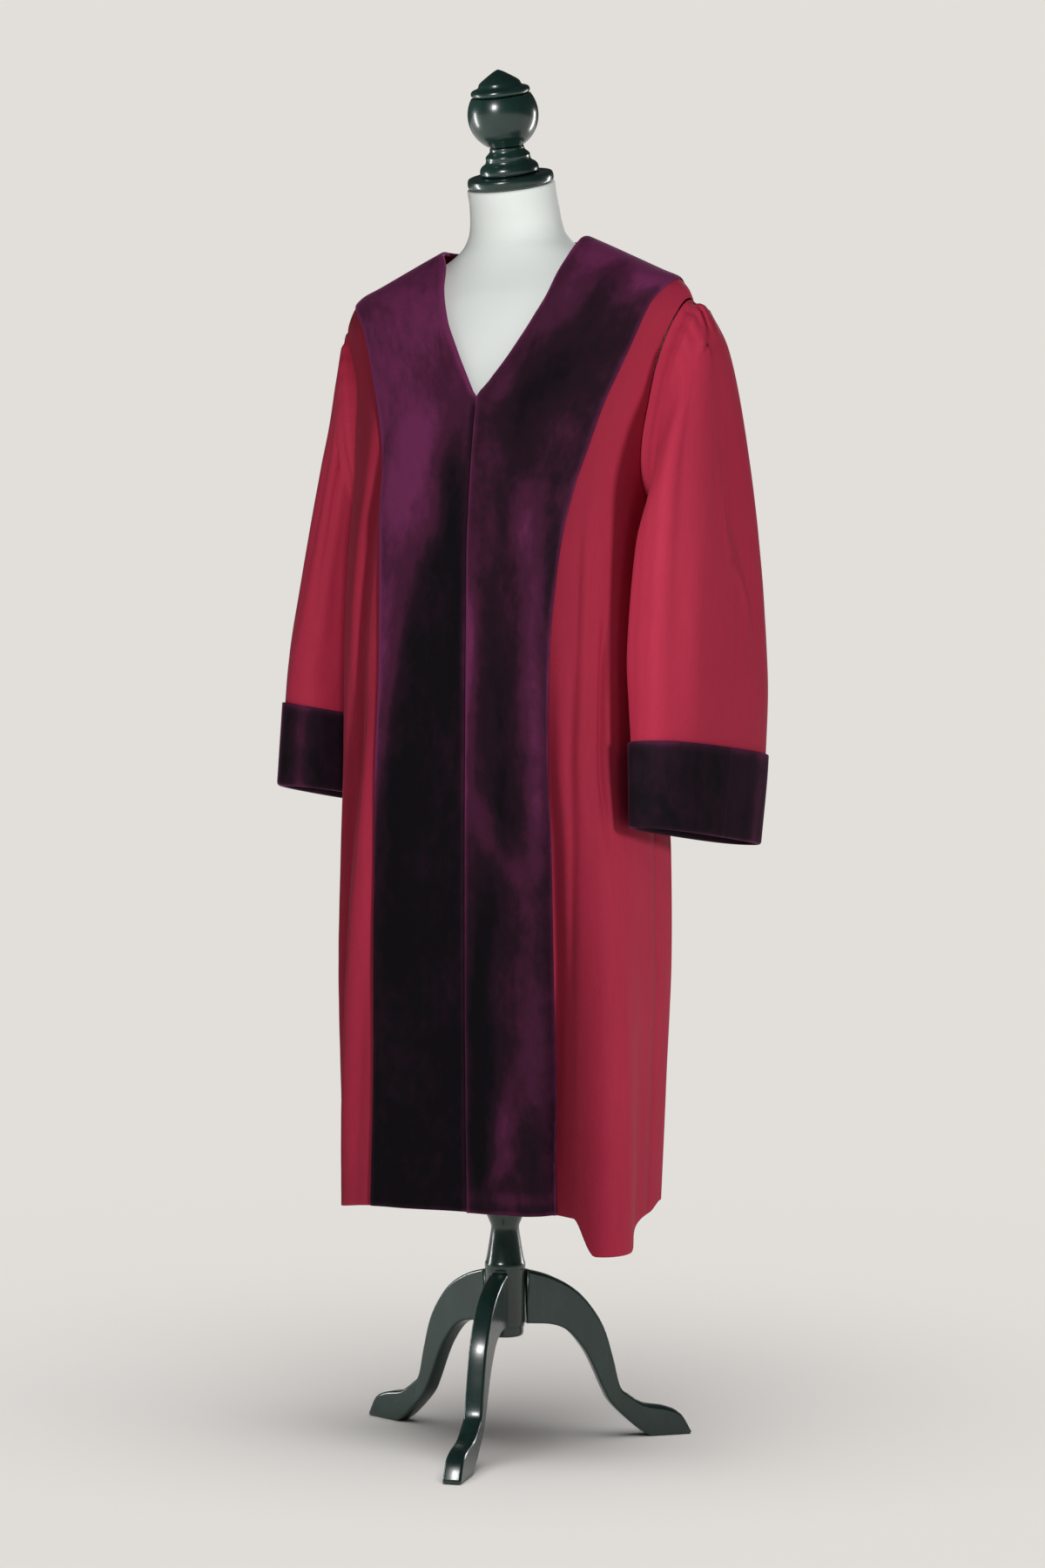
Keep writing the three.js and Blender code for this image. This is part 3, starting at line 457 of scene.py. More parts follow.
def front_grid(side, q, band_cols, side_cols):
    """The front's surface as rows of points, and each point's angle and height on the body."""
    own = side > 0
    band_at = BAND_OF[side]

    def inner_at(z):
        x = band_at(z)["inner"]
        return x if own else x - (LAP + 3) * (1 - smooth(V_Z - 50, V_Z + 12, z))

    top_band = float(ridge_z(214.0))
    q = q[:, None]
    zi = NECK_Z - q * (NECK_Z - HEM_Z)
    zb = top_band - q * (top_band - HEM_Z)
    zs = ARM_TOP - q * (ARM_TOP - HEM_Z)
    near_ridge = 1 - smooth(0, 0.12, q)
    # the velvet's outer edge flares out to its full width at the shoulder seam
    outer = band_at(zb)["outer"] + (214.0 - float(band_at(top_band)["outer"])) * (1 - smooth(0, 0.03, q))

    u = np.linspace(0, 1, band_cols + 1)[None, :]
    x = mix(inner_at(zi), outer, u)
    x0 = mix(95.0, 214.0, u)
    z = mix(zi, zb, u) + near_ridge * (ridge_z(x0) - mix(NECK_Z, top_band, u))
    r = body_at(z)
    a = r["aL"] if side > 0 else r["aR"]
    angle = np.minimum(angle_of_x(r, a, x), np.pi / 2 - 0.004)
    lift = np.zeros_like(z)
    if own:
        lift = LAP_LIFT * (1 - smooth(30, 62, x)) * (1 - smooth(1300, 1345, z))
    hollow = 8 * (1 - smooth(8, 90, np.abs(x))) * (1 - smooth(1000, 1230, z))
    deg = side * np.degrees(angle)
    P = body_point(side, np.maximum(angle, 1e-4), z, lift - hollow)
    P[..., 0] *= np.where(x < 0, -1, 1)
    qz = (NECK_Z - z) / FULL
    P[..., 2] -= hem_drop(deg) * smooth(0.5, 1, qz)
    X = np.where(x < 0, -1, 1) * side * np.abs(x)

    v = (np.arange(1, side_cols + 1) / side_cols)[None, :]
    r1 = body_at(zb)
    a1 = r1["aL"] if side > 0 else r1["aR"]
    start = np.minimum(angle_of_x(r1, a1, outer), np.pi / 2 - 0.004)
    end = side_edge(side, zs, 1)
    ang = mix(start, end, v)
    xs0 = mix(214.0, float(body_at(ARM_TOP)["aL"]), v)
    zz = mix(zb, zs, v) + near_ridge * (ridge_z(xs0) - mix(top_band, ARM_TOP, v))
    dg = side * np.degrees(ang)
    fall = hem_drop(dg) * smooth(0.5, 1, q)
    S = body_point(side, ang, zz)
    S[..., 2] -= fall
    return (np.concatenate([P, S], 1), np.concatenate([deg + 0 * z, dg], 1),
            np.concatenate([z, zz], 1), np.concatenate([X, S[..., 0]], 1))


NECK_W, BACK_NECK_FALL = 0.36, 1.0


def back_grid(q, us):
    """The back's surface: us runs from -1 (wearer's right) to 1 (left)."""
    out = np.zeros((len(q), len(us), 3))
    degs, zs_out = np.zeros(out.shape[:2]), np.zeros(out.shape[:2])
    a_top = float(body_at(ARM_TOP)["aL"])
    for j, u in enumerate(us):
        side = -1 if u < 0 else 1
        w = abs(float(u))
        z_side = ARM_TOP - q * (ARM_TOP - HEM_Z)
        edge = side_edge(side, np.minimum(z_side, ARM_TOP), -1)
        if w < NECK_W:
            v = w / NECK_W
            z_top = NECK_Z - BACK_NECK_FALL * (1 - v * v)
            angle_top = mix(np.pi, np.pi / 2 + 0.004, v ** 1.4)
        else:
            z_top = float(ridge_z(mix(95.0, a_top, (w - NECK_W) / (1 - NECK_W))))
            angle_top = np.pi / 2 + 0.004
        z = z_top - q * (z_top - HEM_Z)
        r = body_at(z)
        a = r["aL"] if side > 0 else r["aR"]
        even = mix(np.pi, edge, w ** 0.92)
        x = 95 * (w / NECK_W) if w < NECK_W else mix(95.0, a_top, (w - NECK_W) / (1 - NECK_W))
        rs = body_at(z_side)
        edge_x = ring_point(rs, rs["aL"] if side > 0 else rs["aR"], edge)[0]
        xs = np.minimum(x * mix(1, edge_x / a_top, smooth(0, 0.1, q)), a * 0.9999)
        by_x = np.pi - angle_of_x(r, a, xs)
        angle = np.where(z > 1300, mix(by_x, even, smooth(0.05, 0.17, q)), even)
        if w == 1:
            angle = np.where(q > 0, edge, angle_top)
        angle = np.clip(angle, np.pi / 2 + 1e-6, np.pi - 1e-4)
        out[:, j] = body_point(side, angle, z)
        out[:, j, 2] -= hem_drop(side * np.degrees(angle)) * smooth(0.5, 1, q)
        degs[:, j] = side * np.degrees(angle)
        zs_out[:, j] = z
    return out, degs, zs_out


def sleeve_grid(side, table, t, deg):
    at = Table(table)
    t = t[:, None]
    deg = deg[None, :]
    r = at(np.maximum(t, 0.07))
    c, s = np.cos(np.radians(deg)), np.sin(np.radians(deg))
    kc = np.sign(c) * np.abs(c) ** (2 / r["p"])
    ks = np.sign(s) * np.abs(s) ** (2 / r["p"])
    mx, mz = (r["ox"] + r["ix"]) / 2, (r["oz"] + r["iz"]) / 2
    hx, hz = (r["ox"] - r["ix"]) / 2, (r["oz"] - r["iz"]) / 2
    px = hx * kc
    py = -np.where(s > 0, r["f"], r["b"]) * ks
    # the pleat at the sleeve head: behind its line the cloth steps in and comes back slowly
    step = 0.25 * PLEAT["deep"] * (1 - smooth(0.2, PLEAT["until"], t)) * smooth(0.01, 0.08, t)
    d = PLEAT["at"] - deg
    d = np.where(d > 0, d, d + 360)
    px = px - np.where(d < 70, step * smooth(0, 3.5, d) * (1 - smooth(14, 70, d)), 0)
    tw = np.radians(r["twist"])
    qx = px * np.cos(tw) - py * np.sin(tw)
    qy = px * np.sin(tw) + py * np.cos(tw)
    tilt = CUFF_TILT * smooth(0.5, 1, t)
    P = np.stack([side * (mx + qx), r["y"] + qy, mz + hz * kc - tilt * qy], -1)
    # towards the armhole the ring closes onto the armhole's own edge
    towards = np.where(deg <= 180, 1, -1)
    half = np.where(deg <= 180, deg, 360 - deg)
    ch, sh = np.cos(np.radians(half)), np.sin(np.radians(half))
    hz_ = ARMHOLE["z"] + (ARMHOLE["tall"] - ARMHOLE["tuck"]) * ch
    hy = hole_y(side, hz_, sh, towards, ARMHOLE["tuck"])
    E = body_point(side, angle_of_y(body_at(hz_), hy), hz_, 0.0, extra=False)
    u = np.clip(t / 0.07, 0, 1)[..., None]
    return np.where(u < 1, mix(E, P, u), P)


def share_at_rise(at, rise):
    lo, hi = 0.5, 1.0
    level = lambda k: float((at(k)["oz"] + at(k)["iz"]) / 2)
    base = level(1.0)
    for _ in range(40):
        m = (lo + hi) / 2
        if level(m) > base + rise:
            lo = m
        else:
            hi = m
    return (lo + hi) / 2


# ------------------------------------------------------------------ meshes
def grid_normals(P, wrap):
    if wrap:
        du = np.roll(P, -1, 1) - np.roll(P, 1, 1)
    else:
        du = np.gradient(P, axis=1)
    dv = np.gradient(P, axis=0)
    n = np.cross(du, dv)
    ln = np.linalg.norm(n, axis=-1, keepdims=True)
    bad = ln[..., 0] < 1e-9
    n = n / np.where(ln < 1e-9, 1, ln)
    if bad.any():
        for i, j in zip(*np.nonzero(bad)):
            k = i + 1 if i == 0 else i - 1
            n[i, j] = n[k, j]
    return n


def make_object(name, verts, faces, smooth_faces=True):
    me = bpy.data.meshes.new(name)
    me.from_pydata([tuple(v) for v in verts], [], faces)
    me.polygons.foreach_set("use_smooth", [smooth_faces] * len(me.polygons))
    me.update()
    o = bpy.data.objects.new(name, me)
    bpy.context.scene.collection.objects.link(o)
    return o


def add_attribute(o, name, values, kind="FLOAT"):
    at = o.data.attributes.new(name, kind, "POINT")
    values = np.asarray(values, np.float32)
    at.data.foreach_set("value" if kind == "FLOAT" else "vector", values.ravel())


def edge_tangents(P, wrap):
    """Outward directions along the sheet at its four borders."""
    R, C = P.shape[:2]
    top = P[0] - P[1]
    bottom = P[R - 1] - P[R - 2]
    left = P[:, 0] - P[:, 1]
    right = P[:, C - 1] - P[:, C - 2]
    unit = lambda v: v / np.maximum(np.linalg.norm(v, axis=-1, keepdims=True), 1e-9)
    return unit(top), unit(bottom), unit(left), unit(right)


def shell(name, P, thick, base=0.0, wrap=False, flip=False, arc=5, bulge=(1, 1, 1, 1), cloth=None,
          floats=None, whole=None, under=None, depth=None):
    """A closed sheet of cloth on a grid of points [row][column], thickened outwards, with its
    edges turned round. bulge is how far the top, bottom, left and right edges round out, as a
    share of half the thickness."""
    if whole is None:
        n = grid_normals(P, wrap)
    else:
        n = whole
    if flip:
        n = -n
    R, C = P.shape[:2]
    base = np.broadcast_to(np.asarray(base, float), (R, C))
    top_of = np.broadcast_to(np.asarray(thick, float), (R, C)) if depth is None else depth
    outer = P + n * (base + top_of)[..., None]
    inner = P + n * (base if under is None else under)[..., None]
    N = R * C
    ids = np.arange(N).reshape(R, C)
    cols = C if wrap else C - 1
    jn = (np.arange(cols) + 1) % C
    a = ids[:-1, :cols].ravel()
    b = ids[:-1][:, jn].ravel()
    c = ids[1:][:, jn].ravel()
    d = ids[1:, :cols].ravel()
    if flip:
        quads_out = np.stack([a, d, c, b], 1)
    else:
        quads_out = np.stack([a, b, c, d], 1)
    quads_in = quads_out[:, ::-1] + N
    top, bottom, left, right = edge_tangents(P, wrap)
    verts = [outer.reshape(-1, 3), inner.reshape(-1, 3)]
    faces = [quads_out, quads_in]
    source = [np.arange(N), np.arange(N)]
    count = 2 * N

    def rim(loop, t, share):
        nonlocal count
        L = len(loop)
        po, pi = outer.reshape(-1, 3)[loop], inner.reshape(-1, 3)[loop]
        nn = n.reshape(-1, 3)[loop]
        t = t - (t * nn).sum(-1, keepdims=True) * nn
        t = t / np.maximum(np.linalg.norm(t, axis=-1, keepdims=True), 1e-9)
        mid, h = (po + pi) / 2, np.linalg.norm(po - pi, axis=-1, keepdims=True) / 2
        rows = [loop]
        for k in range(1, arc):
            th = math.pi * k / arc
            verts.append(mid + h * (math.cos(th) * nn + math.sin(th) * share[:, None] * t))
            rows.append(np.arange(count, count + L))
            source.append(loop)
            count += L
        rows.append(loop + N)
        nxt = np.roll(np.arange(L), -1)
        for r0, r1 in zip(rows[:-1], rows[1:]):
            faces.append(np.stack([r0, r1, r1[nxt], r0[nxt]], 1))

    if wrap:
        rim(ids[0] if not flip else ids[0][::-1], top if not flip else top[::-1],
            np.full(C, float(bulge[0])))
        rim(ids[-1][::-1] if not flip else ids[-1], bottom[::-1] if not flip else bottom,
            np.full(C, float(bulge[1])))
    else:
        loop = np.concatenate([ids[0, :], ids[1:, -1], ids[-1, -2::-1], ids[-2:0:-1, 0]])
        t = np.concatenate([top, right[1:], bottom[-2::-1], left[-2:0:-1]])
        s = np.concatenate([np.full(C, float(bulge[0])), np.full(R - 1, float(bulge[3])),
                            np.full(C - 1, float(bulge[1])), np.full(R - 2, float(bulge[2]))])
        t[0] = top[0] + left[0]
        t[C - 1] = top[-1] + right[0]
        t[C + R - 2] = right[-1] + bottom[-1]
        t[2 * C + R - 3] = bottom[0] + left[-1]
        if flip:
            loop, t, s = loop[::-1], t[::-1], s[::-1]
        rim(loop, t, s)
    V = np.concatenate(verts)
    F = [tuple(int(i) for i in f) for block in faces for f in block]
    o = make_object(name, metres(V), F)
    src = np.concatenate(source)
    if cloth is not None:
        st = cloth.reshape(-1, 2)[src]
        add_attribute(o, "cloth", np.concatenate([st, np.zeros((len(st), 1))], 1), "FLOAT_VECTOR")
    for key, values in (floats or {}).items():
        add_attribute(o, key, np.asarray(values, float).reshape(-1)[src])
    return o


def cloth_coordinates(P):
    """Lengths along the cloth across and down from its first corner, in metres."""
    du = np.linalg.norm(np.diff(P, axis=1), axis=-1)
    dv = np.linalg.norm(np.diff(P, axis=0), axis=-1)
    s = np.concatenate([np.zeros((P.shape[0], 1)), np.cumsum(du, 1)], 1)
    t = np.concatenate([np.zeros((1, P.shape[1])), np.cumsum(dv, 0)], 0)
    s = s * 0 + np.cumsum(np.concatenate([[0], du.mean(0)]))[None, :]
    t = t.mean(1, keepdims=True) + 0 * t
    return np.stack([s, t], -1) / 1000.0


ALL = {}


def place(o, node, material):
    o.data.materials.clear()
    o.data.materials.append(material)
    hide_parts(node)
    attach(o, "root")
    ALL[node] = o
    return o


# ------------------------------------------------------------------ materials
def new_material(name):
    m = bpy.data.materials.new(name)
    m.use_nodes = True
    nt = m.node_tree
    nt.nodes.clear()
    out = nt.nodes.new("ShaderNodeOutputMaterial")
    b = nt.nodes.new("ShaderNodeBsdfPrincipled")
    nt.links.new(b.outputs["BSDF"], out.inputs["Surface"])
    return m, nt, b


def node(nt, kind, **settings):
    n = nt.nodes.new(kind)
    for k, v in settings.items():
        if k in ("inputs",):
            for key, value in v.items():
                n.inputs[key].default_value = value
        else:
            setattr(n, k, v)
    return n


def link(nt, a, b):
    nt.links.new(a, b)


def math_node(nt, op, a, b=None, clamp=False):
    n = nt.nodes.new("ShaderNodeMath")
    n.operation = op
    n.use_clamp = clamp
    for i, v in enumerate((a, b)):
        if v is None:
            continue
        if isinstance(v, (int, float)):
            n.inputs[i].default_value = v
        else:
            nt.links.new(v, n.inputs[i])
    return n.outputs[0]


def noise(nt, vector, scale, detail=3.0, rough=0.55, distortion=0.0):
    n = nt.nodes.new("ShaderNodeTexNoise")
    n.noise_dimensions = "3D"
    n.inputs["Scale"].default_value = scale
    n.inputs["Detail"].default_value = detail
    n.inputs["Roughness"].default_value = rough
    n.inputs["Distortion"].default_value = distortion
    nt.links.new(vector, n.inputs["Vector"])
    return n.outputs["Fac"]


def scaled(nt, vector, sx, sy, sz):
    n = nt.nodes.new("ShaderNodeMapping")
    n.inputs["Scale"].default_value = (sx, sy, sz)
    nt.links.new(vector, n.inputs["Vector"])
    return n.outputs["Vector"]


def ramp(nt, fac, stops):
    n = nt.nodes.new("ShaderNodeValToRGB")
    cr = n.color_ramp
    cr.interpolation = "EASE"
    while len(cr.elements) < len(stops):
        cr.elements.new(0.5)
    for e, (pos, col) in zip(cr.elements, stops):
        e.position = pos
        e.color = (*col, 1.0)
    nt.links.new(fac, n.inputs["Fac"])
    return n.outputs["Color"]


def mix_colour(nt, fac, a, b, blend="MIX"):
    n = nt.nodes.new("ShaderNodeMix")
    n.data_type = "RGBA"
    n.blend_type = blend
    sock = [s for s in n.inputs if s.type == "RGBA"]
    f = [s for s in n.inputs if s.name == "Factor" and s.type == "VALUE"][0]
    for target, value in ((f, fac), (sock[0], a), (sock[1], b)):
        if isinstance(value, (int, float)):
            target.default_value = value
        elif isinstance(value, tuple):
            target.default_value = (*value, 1.0)
        else:
            nt.links.new(value, target)
    return [s for s in n.outputs if s.type == "RGBA"][0]


def lin(r, g, b):
    f = lambda c: (c / 255) / 12.92 if c / 255 <= 0.04045 else ((c / 255 + 0.055) / 1.055) ** 2.4
    return (f(r), f(g), f(b))


def wool_material():
    m, nt, b = new_material("wool_cloth")
    cloth = node(nt, "ShaderNodeAttribute", attribute_name="cloth").outputs["Vector"]
    pos = node(nt, "ShaderNodeTexCoord").outputs["Object"]
    # a fine twill: diagonal ribs crossed by the weft
    warp = node(nt, "ShaderNodeTexWave", wave_type="BANDS", bands_direction="DIAGONAL",
                wave_profile="SIN", inputs={"Scale": 300.0, "Distortion": 0.6, "Detail": 1.0,
                                            "Detail Scale": 2.0})
    link(nt, cloth, warp.inputs["Vector"])
    weft = node(nt, "ShaderNodeTexWave", wave_type="BANDS", bands_direction="Y",
                wave_profile="SIN", inputs={"Scale": 520.0, "Distortion": 0.4})
    link(nt, cloth, weft.inputs["Vector"])
    fibre = noise(nt, scaled(nt, cloth, 1.0, 0.16, 1.0), 1400.0, 3.0)
    slub = noise(nt, scaled(nt, cloth, 1.0, 0.1, 1.0), 260.0, 2.0)
    cloud = noise(nt, pos, 5.0, 3.0)
    weave = math_node(nt, "ADD", math_node(nt, "MULTIPLY", warp.outputs["Fac"], 0.6),
                      math_node(nt, "MULTIPLY", weft.outputs["Fac"], 0.4))
    tone = math_node(nt, "ADD", math_node(nt, "MULTIPLY", weave, 0.22),
                     math_node(nt, "MULTIPLY", fibre, 0.28))
    tone = math_node(nt, "ADD", tone, math_node(nt, "MULTIPLY", slub, 0.2))
    tone = math_node(nt, "ADD", tone, math_node(nt, "MULTIPLY", cloud, 0.3))
    col = ramp(nt, tone, [(0.25, (0.272, 0.0135, 0.036)), (0.5, (0.335, 0.0195, 0.048)),
                          (0.75, (0.392, 0.028, 0.063))])
    link(nt, col, b.inputs["Base Color"])
    b.inputs["Roughness"].default_value = 0.72
    b.inputs["Specular IOR Level"].default_value = 0.12
    b.inputs["Sheen Weight"].default_value = 0.04
    b.inputs["Sheen Roughness"].default_value = 0.5
    b.inputs["Sheen Tint"].default_value = (1.0, 0.30, 0.42, 1.0)
    bm = node(nt, "ShaderNodeBump", inputs={"Strength": 0.35, "Distance": 0.00025})
    height = math_node(nt, "ADD", weave, math_node(nt, "MULTIPLY", fibre, 0.7))
    link(nt, height, bm.inputs["Height"])
    link(nt, bm.outputs["Normal"], b.inputs["Normal"])
    return m


def velvet_material():
    m, nt, b = new_material("velvet_cloth")
    cloth = node(nt, "ShaderNodeAttribute", attribute_name="cloth").outputs["Vector"]
    pile_and_painted_light = node(nt, "ShaderNodeAttribute", attribute_name="pile_and_painted_light").outputs["Fac"]
    # brushed patches: soft, a little longer down the cloth than across it
    patch = noise(nt, scaled(nt, cloth, 1.0, 0.55, 1.0), 16.0, 4.0, 0.6, 0.6)
    small = noise(nt, scaled(nt, cloth, 1.0, 0.5, 1.0), 75.0, 4.0, 0.65)
    pile = noise(nt, cloth, 1500.0, 2.0, 0.6)
    f = math_node(nt, "ADD", pile_and_painted_light, math_node(nt, "MULTIPLY", math_node(nt, "SUBTRACT", patch, 0.5), 0.62))
    f = math_node(nt, "ADD", f, math_node(nt, "MULTIPLY", math_node(nt, "SUBTRACT", small, 0.5), 0.36))
    f = math_node(nt, "ADD", f, math_node(nt, "MULTIPLY", math_node(nt, "SUBTRACT", pile, 0.5), 0.10))
    # the velvet's colour runs from near black (painted shade) to lit purple (painted light) along the pile and
    # painted light field, with random brushed patches on top
    col = ramp(nt, f, [(0.0, (0.0030, 0.0022, 0.0038)), (0.28, (0.014, 0.0042, 0.0105)),
                       (0.6, (0.052, 0.0095, 0.030)), (1.0, (0.135, 0.021, 0.078))])
    link(nt, col, b.inputs["Base Color"])
    b.inputs["Roughness"].default_value = 0.85
    b.inputs["Specular IOR Level"].default_value = 0.10
    b.inputs["Sheen Weight"].default_value = 0.30
    b.inputs["Sheen Roughness"].default_value = 0.28
    b.inputs["Sheen Tint"].default_value = (0.62, 0.16, 0.42, 1.0)
    bm = node(nt, "ShaderNodeBump", inputs={"Strength": 0.5, "Distance": 0.0006})
    height = math_node(nt, "ADD", math_node(nt, "MULTIPLY", small, 1.0), math_node(nt, "MULTIPLY", pile, 0.5))
    link(nt, height, bm.inputs["Height"])
    link(nt, bm.outputs["Normal"], b.inputs["Normal"])
    return m


def jersey_material():
    m, nt, b = new_material("jersey_cover")
    pos = node(nt, "ShaderNodeTexCoord").outputs["Object"]
    rows = node(nt, "ShaderNodeTexWave", wave_type="BANDS", bands_direction="Z",
                wave_profile="SIN", inputs={"Scale": 330.0, "Distortion": 0.8, "Detail": 1.0})
    link(nt, pos, rows.inputs["Vector"])
    fine = noise(nt, pos, 900.0, 2.0)
    cloud = noise(nt, pos, 9.0, 2.0)
    tone = math_node(nt, "ADD", math_node(nt, "MULTIPLY", rows.outputs["Fac"], 0.25),
                     math_node(nt, "MULTIPLY", fine, 0.35))
    tone = math_node(nt, "ADD", tone, math_node(nt, "MULTIPLY", cloud, 0.4))
    col = ramp(nt, tone, [(0.2, (0.70, 0.745, 0.72)), (0.8, (0.775, 0.81, 0.785))])
    link(nt, col, b.inputs["Base Color"])
    b.inputs["Roughness"].default_value = 0.6
    b.inputs["Specular IOR Level"].default_value = 0.3
    b.inputs["Sheen Weight"].default_value = 0.08
    bm = node(nt, "ShaderNodeBump", inputs={"Strength": 0.2, "Distance": 0.0002})
    link(nt, tone, bm.inputs["Height"])
    link(nt, bm.outputs["Normal"], b.inputs["Normal"])
    return m


def wood_material():
    m, nt, b = new_material("painted_wood")
    pos = node(nt, "ShaderNodeTexCoord").outputs["Object"]
    grain = noise(nt, scaled(nt, pos, 1.0, 1.0, 0.12), 60.0, 4.0)
    peel = noise(nt, pos, 240.0, 2.0)
    rub = noise(nt, pos, 22.0, 3.0)
    tone = math_node(nt, "ADD", math_node(nt, "MULTIPLY", grain, 0.6), math_node(nt, "MULTIPLY", rub, 0.4))
    col = ramp(nt, tone, [(0.3, (0.0050, 0.0200, 0.0160)), (0.7, (0.0095, 0.034, 0.0275))])
    link(nt, col, b.inputs["Base Color"])
    rough = math_node(nt, "ADD", math_node(nt, "MULTIPLY", rub, 0.10), 0.21)
    link(nt, rough, b.inputs["Roughness"])
    b.inputs["Specular IOR Level"].default_value = 0.6
    b.inputs["Coat Weight"].default_value = 0.25
    b.inputs["Coat Roughness"].default_value = 0.12
    bm = node(nt, "ShaderNodeBump", inputs={"Strength": 0.12, "Distance": 0.0004})
    link(nt, math_node(nt, "ADD", grain, math_node(nt, "MULTIPLY", peel, 0.5)), bm.inputs["Height"])
    link(nt, bm.outputs["Normal"], b.inputs["Normal"])
    return m


WOOL_M, VELVET_M, JERSEY_M, WOOD_M = (wool_material(), velvet_material(), jersey_material(),
                                      wood_material())

# ------------------------------------------------------------------ the velvet's brushed pile, with painted light and shade
# Soft strokes on the front bands: x from the middle (wearer's left positive), height, half
# width, half length, lean of the stroke (degrees from upright, its top towards the wearer's
# left), and how much lighter or darker the velvet is painted there. The strokes mix brushed
# pile with painted light and shade: lit patches where the velvet turns to the light, dark ones
# where it faces away.
STROKES = [
    # wearer's right band: painted light on the chest, painted shade below a slanting line
    [-60, 1230, 30, 60, 10, 0.12],
    [-25, 1150, 20, 40, 30, 0.20],
    [-20, 1180, 14, 60, 0, -0.40],
    [-110, 1400, 60, 70, 0, 0.12],
    [-96, 1210, 30, 90, 0, 0.10],
    [-40, 1320, 26, 50, 0, -0.14],
    [-62, 640, 8, 120, 4, 0.05],
    [-104, 500, 5, 300, 0, 0.06],
    # wearer's left band: the shoulder and chest, with painted highlights where the shoulder turns up to the light and
    # painted shade on the chest
    [128, 1474, 36, 18, 0, 0.58],
    [176, 1452, 32, 20, 0, 0.54],
    [200, 1436, 18, 14, 0, 0.46],
    [120, 1440, 20, 34, 20, 0.30],
    [150, 1424, 13, 40, 24, -0.12],
    [186, 1420, 14, 30, 30, 0.26],
    [92, 1384, 20, 50, 34, 0.16],
    [128, 1376, 26, 56, 26, -0.02],
    [104, 1316, 34, 52, 26, -0.16],
    [66, 1262, 26, 60, 14, -0.18],
    [40, 1300, 14, 34, 30, 0.20],
    [146, 1320, 12, 60, 20, -0.06],
    [34, 1230, 14, 30, 10, 0.10],
    [118, 1250, 10, 50, 16, 0.04],
    # and down the front: lighter and darker streaks, brushed pile with painted light and shade
    [80, 1120, 13, 60, -4, 0.32],
    [30, 1120, 14, 70, 0, 0.12],
    [112, 1150, 8, 60, 0, -0.10],
    [14, 1010, 9, 70, 0, 0.34],
    [13, 900, 9, 90, 0, 0.36],
    [52, 900, 15, 120, -4, -0.20],
    [56, 800, 14, 70, -8, -0.20],
    [92, 990, 9, 90, 4, 0.32],
    [98, 880, 9, 80, 0, 0.34],
    [100, 780, 9, 60, 0, 0.28],
    [28, 790, 13, 42, -38, 0.16],
    [52, 738, 13, 42, -38, 0.20],
    [84, 690, 12, 50, -14, 0.12],
    [94, 600, 13, 110, 0, 0.14],
    [92, 480, 12, 90, 0, 0.12],
    [34, 640, 16, 90, 6, -0.30],
    [30, 500, 18, 130, 0, -0.34],
    [24, 380, 14, 70, 0, -0.28],
    [58, 404, 12, 44, 8, 0.40],
    [50, 356, 8, 26, 40, 0.20],
    [92, 372, 9, 46, 0, -0.22],
    [106, 380, 6, 60, 0, 0.10],
    [60, 322, 50, 7, 90, 0.22],
]


def pile_and_painted_light_field(x, z):
    lower = smooth(-1, 1, x * 0.5)
    # painted shade: the wearer's right band turns dark below a line that slants down to the outer edge, with painted
    # light above it
    edge_z = np.interp(-x, [0, 20, 46, 70, 84, 100, 112, 130], [1262, 1225, 1180, 1100, 1010, 900, 840, 800])
    right = 0.05 + 0.74 * smooth(-130, 110, z - edge_z)
    right = right + 0.14 * smooth(-240, -20, z - edge_z) * (1 - smooth(-20, 60, z - edge_z))
    left = 0.36 + 0.02 * smooth(300, 1100, z)
    f = right * (1 - lower) + left * lower
    for sx, sz, wx, wz, lean, s in STROKES:
        a = math.radians(lean)
        dx, dz = x - sx, z - sz
        across = dx * math.cos(a) - dz * math.sin(a)
        along = dx * math.sin(a) + dz * math.cos(a)
        if wx > wz:
            across, along = dx, dz
        f = f + s * np.exp(-0.5 * ((across / wx) ** 2 + (along / wz) ** 2) * 1.6)
    return f


